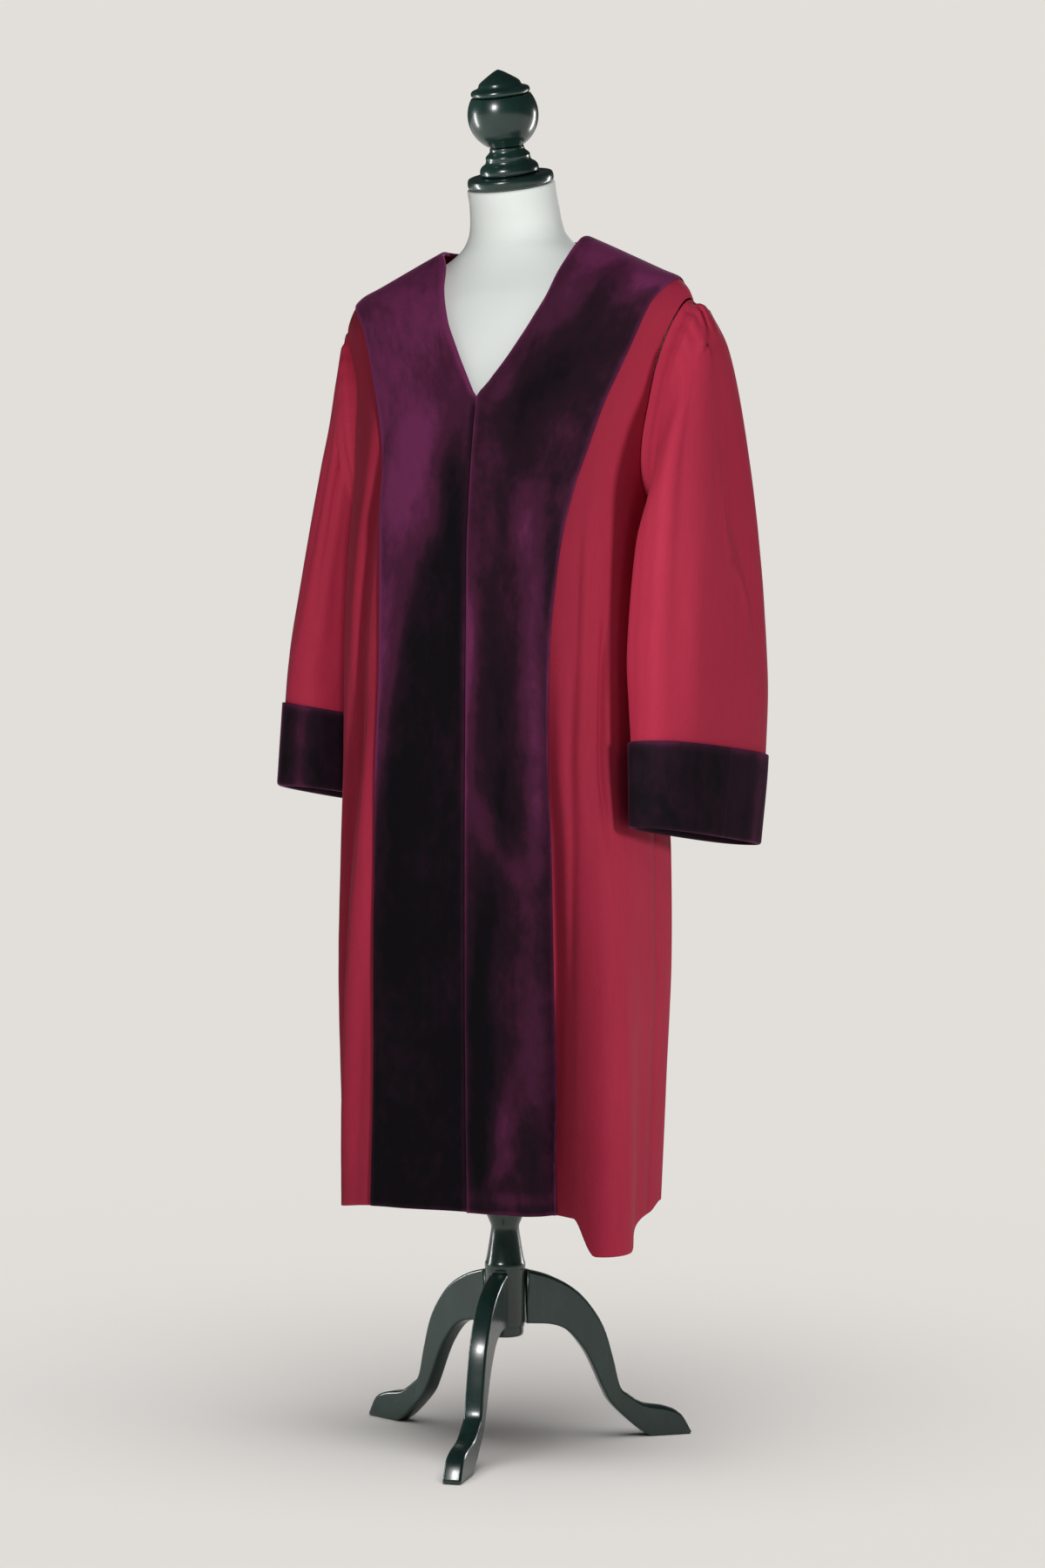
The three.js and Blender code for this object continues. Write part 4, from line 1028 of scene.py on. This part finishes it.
# ------------------------------------------------------------------ the robe
BAND_COLS, SIDE_COLS = 44, 56
for word, side in (("left", 1), ("right", -1)):
    P, deg, z, X = front_grid(side, ROWS, BAND_COLS, SIDE_COLS)
    P = settle(P)
    flip = side > 0
    n = grid_normals(P, False)
    cc = cloth_coordinates(P)
    # the wool's own inner edge lies back inside the velvet that is turned over it
    Pw = P.copy()
    inward = P[:, 1] - P[:, 0]
    inward /= np.maximum(np.linalg.norm(inward, axis=-1, keepdims=True), 1e-9)
    Pw[:, 0] += inward * 2.6
    Pw[:, 1] = mix(Pw[:, 0], P[:, 2], 0.5)
    o = shell("robe_front_" + word, Pw, WOOL, flip=flip, cloth=cc, whole=n, bulge=(0.2, 1, 1, 0.2))
    place(o, "front_" + word, WOOL_M)
    V = P[:, :BAND_COLS + 1]
    pile_and_painted_light = pile_and_painted_light_field(X[:, :BAND_COLS + 1], z[:, :BAND_COLS + 1])
    # painted highlight: a lighter line painted along the band's inner and outer edges
    edge_cols = np.arange(BAND_COLS + 1)[None, :] + 0 * pile_and_painted_light
    pile_and_painted_light = pile_and_painted_light + 0.42 * np.exp(-(edge_cols / 0.9) ** 2) + 0.36 * np.exp(-((BAND_COLS - edge_cols) / 0.8) ** 2)
    # painted highlight: a lighter line painted along the band's hem
    pile_and_painted_light = pile_and_painted_light + 0.30 * smooth(0.996, 1.0, ROWS)[:, None]
    # painted shadow: a dark line painted on the wearer's right band beside the lapped front edge, below the V
    if side < 0:
        xb_, zb_ = X[:, :BAND_COLS + 1], z[:, :BAND_COLS + 1]
        pile_and_painted_light = pile_and_painted_light - 0.6 * np.exp(-((xb_ - 9) / 4.0) ** 2) * (1 - smooth(1270, 1290, zb_))
    under = np.full(V.shape[:2], WOOL + GAP)
    under[:, 0] = -0.3
    o = shell("robe_velvet_band_" + word, V, PILE, base=WOOL + GAP, flip=flip,
              cloth=cc[:, :BAND_COLS + 1], whole=n[:, :BAND_COLS + 1], floats={"pile_and_painted_light": pile_and_painted_light}, arc=8,
              bulge=(0.3, 1, 0.6, 1), under=under)
    place(o, "velvet_" + word, VELVET_M)

us = np.linspace(-1, 1, 133)
B, bdeg, bz = back_grid(ROWS, us)
B = settle(B)
nB = grid_normals(B, False)
ccB = cloth_coordinates(B)
o = shell("robe_back", B, WOOL, cloth=ccB, whole=nB, bulge=(0.2, 1, 0.2, 0.2))
place(o, "back", WOOL_M)
rows_b = ROWS <= 0.0345
cols_b = np.abs(us) <= 10 / 11 + 1e-6
Bb = B[rows_b][:, cols_b]
nb = nB[rows_b][:, cols_b]
xb = B[..., 0][rows_b][:, cols_b]
nap_b = 0.5 + 0.22 * np.sin(xb / 31.0) * np.cos(xb / 57.0 + 1.0)
o = shell("robe_velvet_neck_band", Bb, PILE, base=WOOL + GAP, cloth=ccB[rows_b][:, cols_b], whole=nb,
          floats={"pile_and_painted_light": nap_b}, arc=6, bulge=(0.2, 1, 1, 1))
place(o, "velvet_back", VELVET_M)

SLEEVE_LONG, PER_DEG = 650.0, 1.5
# Strokes on the sleeves: distance round the ring from the outer side towards the front, and
# down from the armhole, in mm.
ON_LEFT = [
    # the tuck at the sleeve head: a deep slot that hooks forward at its lower end
    ([(-4, 4), (6, 34), (17, 66), (25, 84)], 4.2, -34, 0.0, [0.8, 1, 1, 1, 0.9]),
    ([(-14, 12), (-5, 40), (6, 70), (16, 100), (8, 150)], 9, 3.5, 0.3, [0.1, 0.6, 1, 0.8, 0.2]),
    ([(26, 88), (38, 92)], 5, -12, 0.0, [1, 0.8, 0.2]),
    ([(36, 76), (58, 92)], 9, 4, 0.0, [0.6, 1, 0.3]),
    # the soft fold that runs on down from it
    ([(28, 100), (12, 205), (4, 275), (0, 365), (-16, 415), (-26, 480)], 10, -9.0, 0.7, [1, 1, 0.9, 0.8, 0.6, 0]),
    ([(6, 300), (1, 360), (-13, 412), (-22, 462)], 4.0, 4.6, 0.0, [0, 1, 1, 0]),
    ([(56, 40), (74, 150), (80, 330), (76, 520)], 26, -4.5, 0.2, [0.3, 1, 0.7, 0.2]),
    ([(104, 90), (112, 240), (112, 430), (108, 600)], 22, 3.5, 0.0, [0.2, 1, 0.8, 0.6]),
    ([(40, 300), (46, 420), (44, 560)], 18, 2.4, 0.0, [0, 1, 0.6]),
    ([(-60, 30), (-66, 160), (-74, 330), (-80, 560)], 20, -6, 0.0, [0.6, 1, 0.8, 0.2]),
    ([(-96, 60), (-104, 220), (-112, 420)], 20, 4.5, 0.0, [0.4, 1, 0.2]),
    ([(-140, 120), (-150, 300), (-156, 520)], 22, -5, 0.2, [0.4, 1, 0.5]),
    ([(-190, 120), (-192, 300), (-190, 600)], 24, 4, 0.0, [0.3, 1, 0.6]),
    ([(206, 110), (200, 260), (204, 480)], 22, -4, 0.0, [0.4, 1, 0.4]),
    ([(160, 150), (150, 300), (156, 620)], 18, -3, 0.0, [0.6, 1, 0.4]),
]
ON_RIGHT = [
    ([(-4, 4), (2, 30), (10, 62), (20, 84)], 6.5, -12, 0.0, [0.5, 1, 1, 0.6]),
    ([(-16, 10), (-8, 40), (0, 74), (4, 110)], 11, 7.0, 0.3, [0.4, 1, 1, 0.2]),
    ([(22, 96), (16, 190), (8, 280), (2, 380)], 18, -4.5, 0.3, [1, 0.8, 0.6, 0]),
    ([(60, 60), (66, 180), (70, 360), (66, 560)], 24, 3.4, 0.0, [0.3, 1, 0.7, 0.3]),
    ([(96, 100), (104, 260), (100, 480)], 18, -3.6, 0.0, [0.3, 1, 0.3]),
    ([(-62, 30), (-70, 160), (-78, 330), (-82, 560)], 20, -6, 0.0, [0.6, 1, 0.8, 0.2]),
    ([(-98, 60), (-108, 220), (-114, 420)], 20, 4.5, 0.0, [0.4, 1, 0.2]),
    ([(-146, 120), (-152, 300), (-158, 520)], 22, -5, 0.2, [0.4, 1, 0.5]),
    ([(190, 110), (188, 260), (196, 480)], 22, -4, 0.0, [0.4, 1, 0.4]),
    ([(146, 120), (150, 240), (150, 420)], 16, -6, 0.0, [1, 0.8, 0.2]),
]
# the cloth beside the tuck laps over it: distance round, down and how far it is drawn across
LAPS = {
    1: ([(-12, 4), (-3, 34), (9, 66), (18, 88), (24, 104)], 8.0, 8.0, 0.0, [0.3, 1, 1, 0.9, 0]),
    -1: ([(-12, 8), (-6, 30), (2, 62), (10, 84)], 7.0, 3.0, 0.0, [0.3, 1, 1, 0]),
}
dens = lambda d: 1 + 2.2 * np.exp(-((turn_of(d - 12) / 20) ** 2)) + 0.6 * np.exp(-((turn_of(d - 120) / 40) ** 2))
fine = np.arange(0, 360, 0.5)
cum = np.concatenate([[0], np.cumsum(dens(fine))])
RING_DEGS = np.interp(np.arange(196) / 196 * cum[-1], cum, np.arange(0, 360.5, 0.5))
for word, side, table in (("left", 1, SLEEVE_L), ("right", -1, SLEEVE_R)):
    at = Table(table)
    cuff_top = share_at_rise(at, CUFF_TALL - CUFF_UNDER)
    t = np.concatenate([np.linspace(0, 0.07, 16)[:-1], np.linspace(0.07, 0.26, 36)[:-1],
                        np.linspace(0.26, cuff_top, 84)[:-1], np.linspace(cuff_top, 1, 20)])
    S = settle(sleeve_grid(side, table, t, RING_DEGS))
    n = grid_normals(S, True) * side
    tt = t[:, None] + 0 * RING_DEGS[None, :]
    dd = turn_of(RING_DEGS[None, :] + 0 * tt)
    seam = np.sin(np.pi * np.clip(tt / 0.05, 0, 1)) ** 1.5
    # the seam draws the cloth in all round the armhole, most at the front
    lines = ON_LEFT if side > 0 else ON_RIGHT
    disp = stroke_field(dd * PER_DEG, tt * SLEEVE_LONG, lines) * smooth(0.0, 0.02, tt)
    disp = disp * (1 - 0.8 * smooth(0.80, 0.9, tt))
    disp = disp - seam * (1.5 + (13.0 if side < 0 else 1.5) * bump(dd - 85, 75))
    disp = disp + 1.1 * np.sin(dd * 0.42 + 1.3 * side) * smooth(0.004, 0.03, tt) * (1 - smooth(0.05, 0.16, tt)) * bump(dd - 10, 90)
    round_ = np.roll(S, -1, 1) - np.roll(S, 1, 1)
    round_ /= np.maximum(np.linalg.norm(round_, axis=-1, keepdims=True), 1e-9)
    pull = stroke_field(dd * PER_DEG, tt * SLEEVE_LONG, [LAPS[side]]) * smooth(0.0, 0.02, tt)
    S = S + n * disp[..., None] + round_ * pull[..., None]
    n = grid_normals(S, True)
    cc = cloth_coordinates(S)
    first = len(t) - 20
    o = shell("robe_sleeve_" + word, S, WOOL, wrap=True, flip=side < 0, cloth=cc, whole=n,
              bulge=(0.2, 1, 0, 0))
    place(o, "sleeve_" + word, WOOL_M)
    # the cuff: up the outside, round the sleeve's hem and a little way up the inside
    nk = n[first:] * side
    out_rows = S[first:] + nk * (WOOL + CUFF_STAND)
    down = np.array([0, 0, -1.0])
    end, en = S[-1], nk[-1]
    turn_rows, turn_n = [], []
    mid_off, rad = (WOOL + CUFF_STAND - 0.6) / 2, (WOOL + CUFF_STAND + 0.6) / 2
    for k in range(1, 8):
        th = math.pi * k / 8
        dirn = en * math.cos(th) + down * math.sin(th)
        turn_rows.append(end + en * mid_off + dirn * rad + down * 0.6)
        turn_n.append(dirn)
    in_i = list(range(len(t) - 1, first + 8, -2))
    in_rows = np.stack([S[i] - n[i] * side * 0.6 for i in in_i])
    in_n = np.stack([-n[i] * side for i in in_i])
    K = np.concatenate([out_rows, np.stack(turn_rows), in_rows], 0)
    NK = np.concatenate([nk, np.stack(turn_n), in_n], 0)
    NK /= np.maximum(np.linalg.norm(NK, axis=-1, keepdims=True), 1e-9)
    cck = cloth_coordinates(K)
    row = np.arange(len(K))[:, None] + 0 * K[..., 0]
    d = RING_DEGS[None, :] + 0 * K[..., 0]
    # painted highlights: lighter pile painted along the cuff's front fold and at two more places round it, and along
    # its top rim and its turned hem
    front_fold_painted_highlight = np.exp(-((turn_of(d - (128 if side > 0 else 100)) / 10.0) ** 2))
    cuff_pile_and_light = (0.14 + 0.34 * front_fold_painted_highlight + 0.30 * np.exp(-((turn_of(d + 34) / 9.0) ** 2))
            + 0.10 * np.exp(-((turn_of(d - 226) / 24.0) ** 2)))
    cuff_pile_and_light = cuff_pile_and_light + 0.34 * np.exp(-((row - 0.0) / 1.1) ** 2) + 0.30 * np.exp(-((row - 22.0) / 1.8) ** 2)
    o = shell("robe_cuff_" + word, K, PILE, wrap=True, flip=side < 0,
              cloth=cck, whole=NK * side, floats={"pile_and_painted_light": cuff_pile_and_light}, arc=6, bulge=(1, 1, 0, 0))
    place(o, "cuff_" + word, VELVET_M)


# ------------------------------------------------------------------ the dress form and its stand
def tilted_cap(p):
    p = p.copy()
    k = smooth(1500, NECK_TOP["z"], p[..., 2])
    p[..., 2] += k * (p[..., 1] - NECK_TOP["y"]) * math.tan(math.radians(NECK_TILT))
    return p


def stack(name, rings):
    """Closed stack of rings [ring][column] with both ends filled."""
    R, C = rings.shape[:2]
    verts = [rings.reshape(-1, 3), rings[0].mean(0)[None], rings[-1].mean(0)[None]]
    faces = []
    for i in range(R - 1):
        for j in range(C):
            a, b = i * C + j, i * C + (j + 1) % C
            faces.append((a, b, b + C, a + C))
    for j in range(C):
        faces.append((R * C, (j + 1) % C, j))
        faces.append((R * C + 1, (R - 1) * C + j, (R - 1) * C + (j + 1) % C))
    return np.concatenate(verts), faces


levels = np.concatenate([np.linspace(780, 1380, 50)[:-1], np.linspace(1380, 1558, 60)])
w = 2 * np.pi * np.arange(128) / 128
r = form_at(levels[:, None])
ang = np.where(w < np.pi, w, 2 * np.pi - w)[None, :]
fx, fy = ring_point(r, r["a"], ang)
sgn = np.where(w < np.pi, 1, -1)[None, :]
F = np.stack([sgn * fx, fy, levels[:, None] + 0 * fx], -1)
F = tilted_cap(settle(F))
vts, fcs = stack("form", F)
o = make_object("dress_form_torso", metres(vts), fcs)
place(o, "form_torso", JERSEY_M)


def round_profile(points, times=3):
    """Corners cut off again and again, so that a turned profile's beads come out round."""
    p = np.array(points, float)
    for _ in range(times):
        a, b = p[:-1], p[1:]
        ln = np.linalg.norm(b - a, axis=1, keepdims=True)
        cut = np.minimum(0.25, 3.0 / np.maximum(ln, 1e-6))
        q = np.empty((2 * len(a), 2))
        q[0::2] = a + (b - a) * cut
        q[1::2] = b - (b - a) * cut
        q[0], q[-1] = p[0], p[-1]
        p = q
    return p


def lathe(name, profile, rounds=3, sides=96):
    p = round_profile(profile, rounds)
    p[0, 0] = p[-1, 0] = 0.0
    ang = 2 * np.pi * np.arange(sides) / sides
    inner = p[1:-1]
    V = np.stack([np.outer(inner[:, 0], np.cos(ang)), np.outer(inner[:, 0], np.sin(ang)),
                  np.outer(inner[:, 1], np.ones(sides))], -1).reshape(-1, 3)
    V = np.concatenate([V, [[0, 0, p[0, 1]], [0, 0, p[-1, 1]]]])
    n, S = len(inner), sides
    faces = []
    for i in range(n - 1):
        for j in range(S):
            a, b = i * S + j, i * S + (j + 1) % S
            faces.append((a, b, b + S, a + S))
    for j in range(S):
        faces.append((n * S, (j + 1) % S, j))
        faces.append((n * S + 1, (n - 1) * S + j, (n - 1) * S + (j + 1) % S))
    return V, faces


def tilted(V, rise):
    V = V.copy()
    V[:, 2] += rise
    a = math.radians(NECK_TILT)
    y = V[:, 1] * math.cos(a) - V[:, 2] * math.sin(a)
    z = V[:, 1] * math.sin(a) + V[:, 2] * math.cos(a)
    return np.stack([V[:, 0], y + NECK_TOP["y"], z + NECK_TOP["z"] + 1.2], -1)


base_rise = DISC[-1][1] + GAP
ball_rise = base_rise + FINIAL_BASE[-1][1] + GAP + BALL["low"]
zb_ = np.linspace(-BALL["low"], BALL["high"], 40)
ball = [[0, -BALL["low"]]] + [[math.sqrt(BALL["r"] ** 2 - k * k), k] for k in zb_] + [[0, BALL["high"]]]
for piece_name, cad, profile, rise, rounds in (
    ("neck_disc_turned", "neck_disc", DISC, 0.0, 3),
    ("finial_base_turned", "finial_base", FINIAL_BASE, base_rise, 3),
    ("finial_ball_turned", "finial_ball", ball, ball_rise, 1),
    ("finial_top_turned", "finial_top", FINIAL_TOP, ball_rise + BALL["high"] + GAP, 3),
):
    V, fc = lathe(piece_name, profile, rounds)
    o = make_object(piece_name, metres(tilted(V, rise)), fc)
    place(o, cad, WOOD_M)
V, fc = lathe("column", COLUMN, 2)
o = make_object("stand_column", metres(V), fc)
place(o, "column", WOOD_M)


def through(points, per=6):
    """A smooth line through the points (Catmull-Rom)."""
    p = np.array(points, float)
    ext = np.concatenate([[2 * p[0] - p[1]], p, [2 * p[-1] - p[-2]]])
    out = []
    for i in range(len(p) - 1):
        a, b, c, d = ext[i:i + 4]
        for k in range(per):
            u = k / per
            out.append(0.5 * ((2 * b) + (c - a) * u + (2 * a - 5 * b + 4 * c - d) * u * u
                              + (3 * b - a - 3 * c + d) * u ** 3))
    out.append(p[-1])
    return np.array(out)


top_line = through(LEG_TOP_LINE)
under = np.concatenate([[LEG_UNDER_LINE[0]], through(LEG_UNDER_LINE[1:])])
outline = np.concatenate([top_line, under])
for cad, turn in zip(("leg_front", "leg_left", "leg_right"), LEG_TURN):
    bm_ = bmesh.new()
    h = LEG_THICK / 2
    low = [bm_.verts.new((x / 1000, -h / 1000, zz / 1000)) for x, zz in outline]
    face = bm_.faces.new(low)
    ext = bmesh.ops.extrude_face_region(bm_, geom=[face])
    up = [v for v in ext["geom"] if isinstance(v, bmesh.types.BMVert)]
    bmesh.ops.translate(bm_, verts=up, vec=(0, 2 * h / 1000, 0))
    bmesh.ops.recalc_face_normals(bm_, faces=bm_.faces[:])
    bm_.faces.ensure_lookup_table()
    caps = [f for f in bm_.faces if len(f.verts) > 10]
    rims = list({e for f in caps for e in f.edges})
    bmesh.ops.bevel(bm_, geom=rims, offset=0.0034, offset_type="OFFSET", segments=4, profile=0.5,
                    affect="EDGES", clamp_overlap=True)
    me = bpy.data.meshes.new("stand_" + cad)
    bm_.to_mesh(me)
    bm_.free()
    for poly in me.polygons:
        poly.use_smooth = len(poly.vertices) < 10
    a = math.radians(turn - 90)
    me.transform(Matrix.Rotation(a, 4, "Z"))
    me.transform(Matrix.Translation(Vector(AXIS)))
    me.update()
    o = bpy.data.objects.new("stand_" + cad, me)
    bpy.context.scene.collection.objects.link(o)
    place(o, cad, WOOD_M)

# ------------------------------------------------------------------ floor, backdrop, light, camera
BG = lin(226, 223, 218)


def emission(name, colour, strength=1.0):
    m = bpy.data.materials.new(name)
    m.use_nodes = True
    nt = m.node_tree
    nt.nodes.clear()
    out = nt.nodes.new("ShaderNodeOutputMaterial")
    e = nt.nodes.new("ShaderNodeEmission")
    e.inputs["Color"].default_value = (*colour, 1)
    e.inputs["Strength"].default_value = strength
    nt.links.new(e.outputs[0], out.inputs["Surface"])
    return m, nt, e, out


floor_verts, floor_faces = [(0, 0, 0)], []
radii = [0.4, 0.8, 1.2, 1.8, 2.6, 4, 6, 10, 20, 45]
S = 64
for rr in radii:
    floor_verts += [(rr * math.cos(2 * math.pi * k / S), rr * math.sin(2 * math.pi * k / S), 0) for k in range(S)]
for k in range(S):
    floor_faces.append((0, 1 + k, 1 + (k + 1) % S))
    for i in range(len(radii) - 1):
        a, b = 1 + i * S + k, 1 + i * S + (k + 1) % S
        floor_faces.append((a, a + S, b + S, b))
floor = make_object("studio_floor", floor_verts, floor_faces)
m, nt, e, out = emission("floor_paper", BG)
diff = nt.nodes.new("ShaderNodeBsdfDiffuse")
diff.inputs["Color"].default_value = (0.76, 0.74, 0.71, 1)
co = node(nt, "ShaderNodeTexCoord")
ln_ = nt.nodes.new("ShaderNodeVectorMath")
ln_.operation = "LENGTH"
link(nt, co.outputs["Object"], ln_.inputs[0])
mr = nt.nodes.new("ShaderNodeMapRange")
mr.interpolation_type = "SMOOTHSTEP"
mr.inputs["From Min"].default_value = 0.5
mr.inputs["From Max"].default_value = 2.6
link(nt, ln_.outputs["Value"], mr.inputs["Value"])
ms = nt.nodes.new("ShaderNodeMixShader")
link(nt, mr.outputs["Result"], ms.inputs["Fac"])
link(nt, diff.outputs[0], ms.inputs[1])
link(nt, e.outputs[0], ms.inputs[2])
link(nt, ms.outputs[0], out.inputs["Surface"])
floor.data.materials.append(m)

bpy.ops.mesh.primitive_uv_sphere_add(segments=48, ring_count=24, radius=44)
dome = bpy.context.object
dome.name = "studio_backdrop"
dome.data.materials.append(emission("backdrop_paper", BG)[0])
dome.visible_diffuse = False
dome.visible_glossy = False
dome.visible_shadow = False
dome.visible_transmission = False

world = bpy.data.worlds.new("studio")
bpy.context.scene.world = world
world.use_nodes = True
bgn = world.node_tree.nodes["Background"]
bgn.inputs["Color"].default_value = (0.93, 0.96, 1.0, 1)
bgn.inputs["Strength"].default_value = 0.04


def collection(name, objects):
    c = bpy.data.collections.new(name)
    for ob in objects:
        c.objects.link(ob)
    return c


wood_nodes = ("neck_disc", "finial_base", "finial_ball", "finial_top", "column", "leg_front", "leg_left", "leg_right")
wood_set = collection("lit_wood", [ALL[n_] for n_ in wood_nodes])
cloth_set = collection("lit_cloth", [ob for n_, ob in ALL.items() if n_ not in wood_nodes])
floor_set = collection("lit_floor", [floor])
middle = Vector((0, 0, 1.0))


def softbox(name, azimuth, elevation, distance, size, power, receivers, aim=middle, colour=(1, 1, 1)):
    """azimuth 0 is straight in front of the robe and 90 on the wearer's left."""
    a, e_ = math.radians(azimuth), math.radians(elevation)
    d = Vector((math.sin(a) * math.cos(e_), -math.cos(a) * math.cos(e_), math.sin(e_)))
    L = bpy.data.lights.new(name, "AREA")
    L.shape = "RECTANGLE"
    L.size, L.size_y = size
    L.energy = power
    L.color = colour
    ob = bpy.data.objects.new(name, L)
    ob.location = aim + d * distance
    ob.rotation_mode = "QUATERNION"
    ob.rotation_quaternion = d.to_track_quat("Z", "Y")
    bpy.context.scene.collection.objects.link(ob)
    if receivers is not None:
        ob.light_linking.receiver_collection = receivers
    return ob


parts_of = lambda *names: [ALL[n_] for n_ in names]
near_body = collection("lit_near_body", parts_of("front_left", "back"))
near_sleeve = collection("lit_near_sleeve", parts_of("sleeve_left", "cuff_left"))
far_body = collection("lit_far_body", parts_of("front_right"))
far_sleeve = collection("lit_far_sleeve", parts_of("sleeve_right", "cuff_right"))
pile_and_form = collection("lit_pile", parts_of("velvet_left", "velvet_right", "velvet_back", "form_torso"))
chest = Vector((0, 0, 1.05))


def around(name, azimuth, height, size, power, receivers, out=3.0):
    """A softbox this far out from the form's middle, at this height, aimed at the chest."""
    away = Vector((out, 0, height - chest.z))
    softbox(name, azimuth, math.degrees(math.atan2(away.z, away.x)), away.length, size, power,
            receivers, aim=chest)


around("body_key", 68, 1.25, (0.3, 0.3), 47, near_body)
around("body_fill", 50, 2.6, (0.5, 0.5), 11, near_body)
around("sleeve_key", 60, 1.5, (0.5, 0.5), 36, near_sleeve)
around("sleeve_fill", -12, 1.9, (0.8, 0.8), 88, near_sleeve)
around("far_body_key", 52, 0.95, (0.3, 0.3), 74, far_body)
around("far_body_fill", 30, 3.4, (0.8, 0.8), 4, far_body)
around("far_sleeve_key", 24, 0.95, (0.6, 0.6), 66, far_sleeve)
around("pile_key", 30, 2.2, (0.7, 0.7), 70, pile_and_form)
softbox("back", 188, 25, 4.0, (1.6, 1.6), 34, cloth_set)
softbox("wood_front", -4, 22, 4.0, (0.8, 0.8), 92, wood_set, aim=Vector((0, 0, 1.2)))
softbox("wood_side", -78, 4, 3.0, (0.3, 1.6), 45, wood_set, aim=Vector((0, 0, 0.9)))
softbox("wood_rim", 150, 6, 3.5, (0.5, 2.0), 55, wood_set, aim=Vector((0, 0, 0.9)))
sun = bpy.data.lights.new("floor_light", "SUN")
sun.angle = math.radians(60)
sun.energy = 3.05
sun_ob = bpy.data.objects.new("floor_light", sun)
sun_ob.rotation_euler = (math.radians(12), math.radians(8), 0)
bpy.context.scene.collection.objects.link(sun_ob)
sun_ob.light_linking.receiver_collection = floor_set

# the camera stands 25 degrees round towards the wearer's left, at chest height
AZ, DIST, HIGH = math.radians(25), 4.6, 1.0
cam = bpy.data.cameras.new("camera")
cam.sensor_fit = "AUTO"
cam.sensor_width = 36
cam.lens = 4264 / 1800 * 36
cam.shift_x = 20 / 1800
cam.shift_y = -171 / 1800
cam_ob = bpy.data.objects.new("camera", cam)
eye = Vector((AXIS[0] + DIST * math.sin(AZ), AXIS[1] - DIST * math.cos(AZ), HIGH))
cam_ob.location = eye
look = Vector((-math.sin(AZ), math.cos(AZ), 0))
cam_ob.rotation_mode = "QUATERNION"
cam_ob.rotation_quaternion = look.to_track_quat("-Z", "Y")
cam.clip_end = 200
bpy.context.scene.collection.objects.link(cam_ob)
bpy.context.scene.camera = cam_ob
bpy.context.scene.view_settings.view_transform = "Standard"
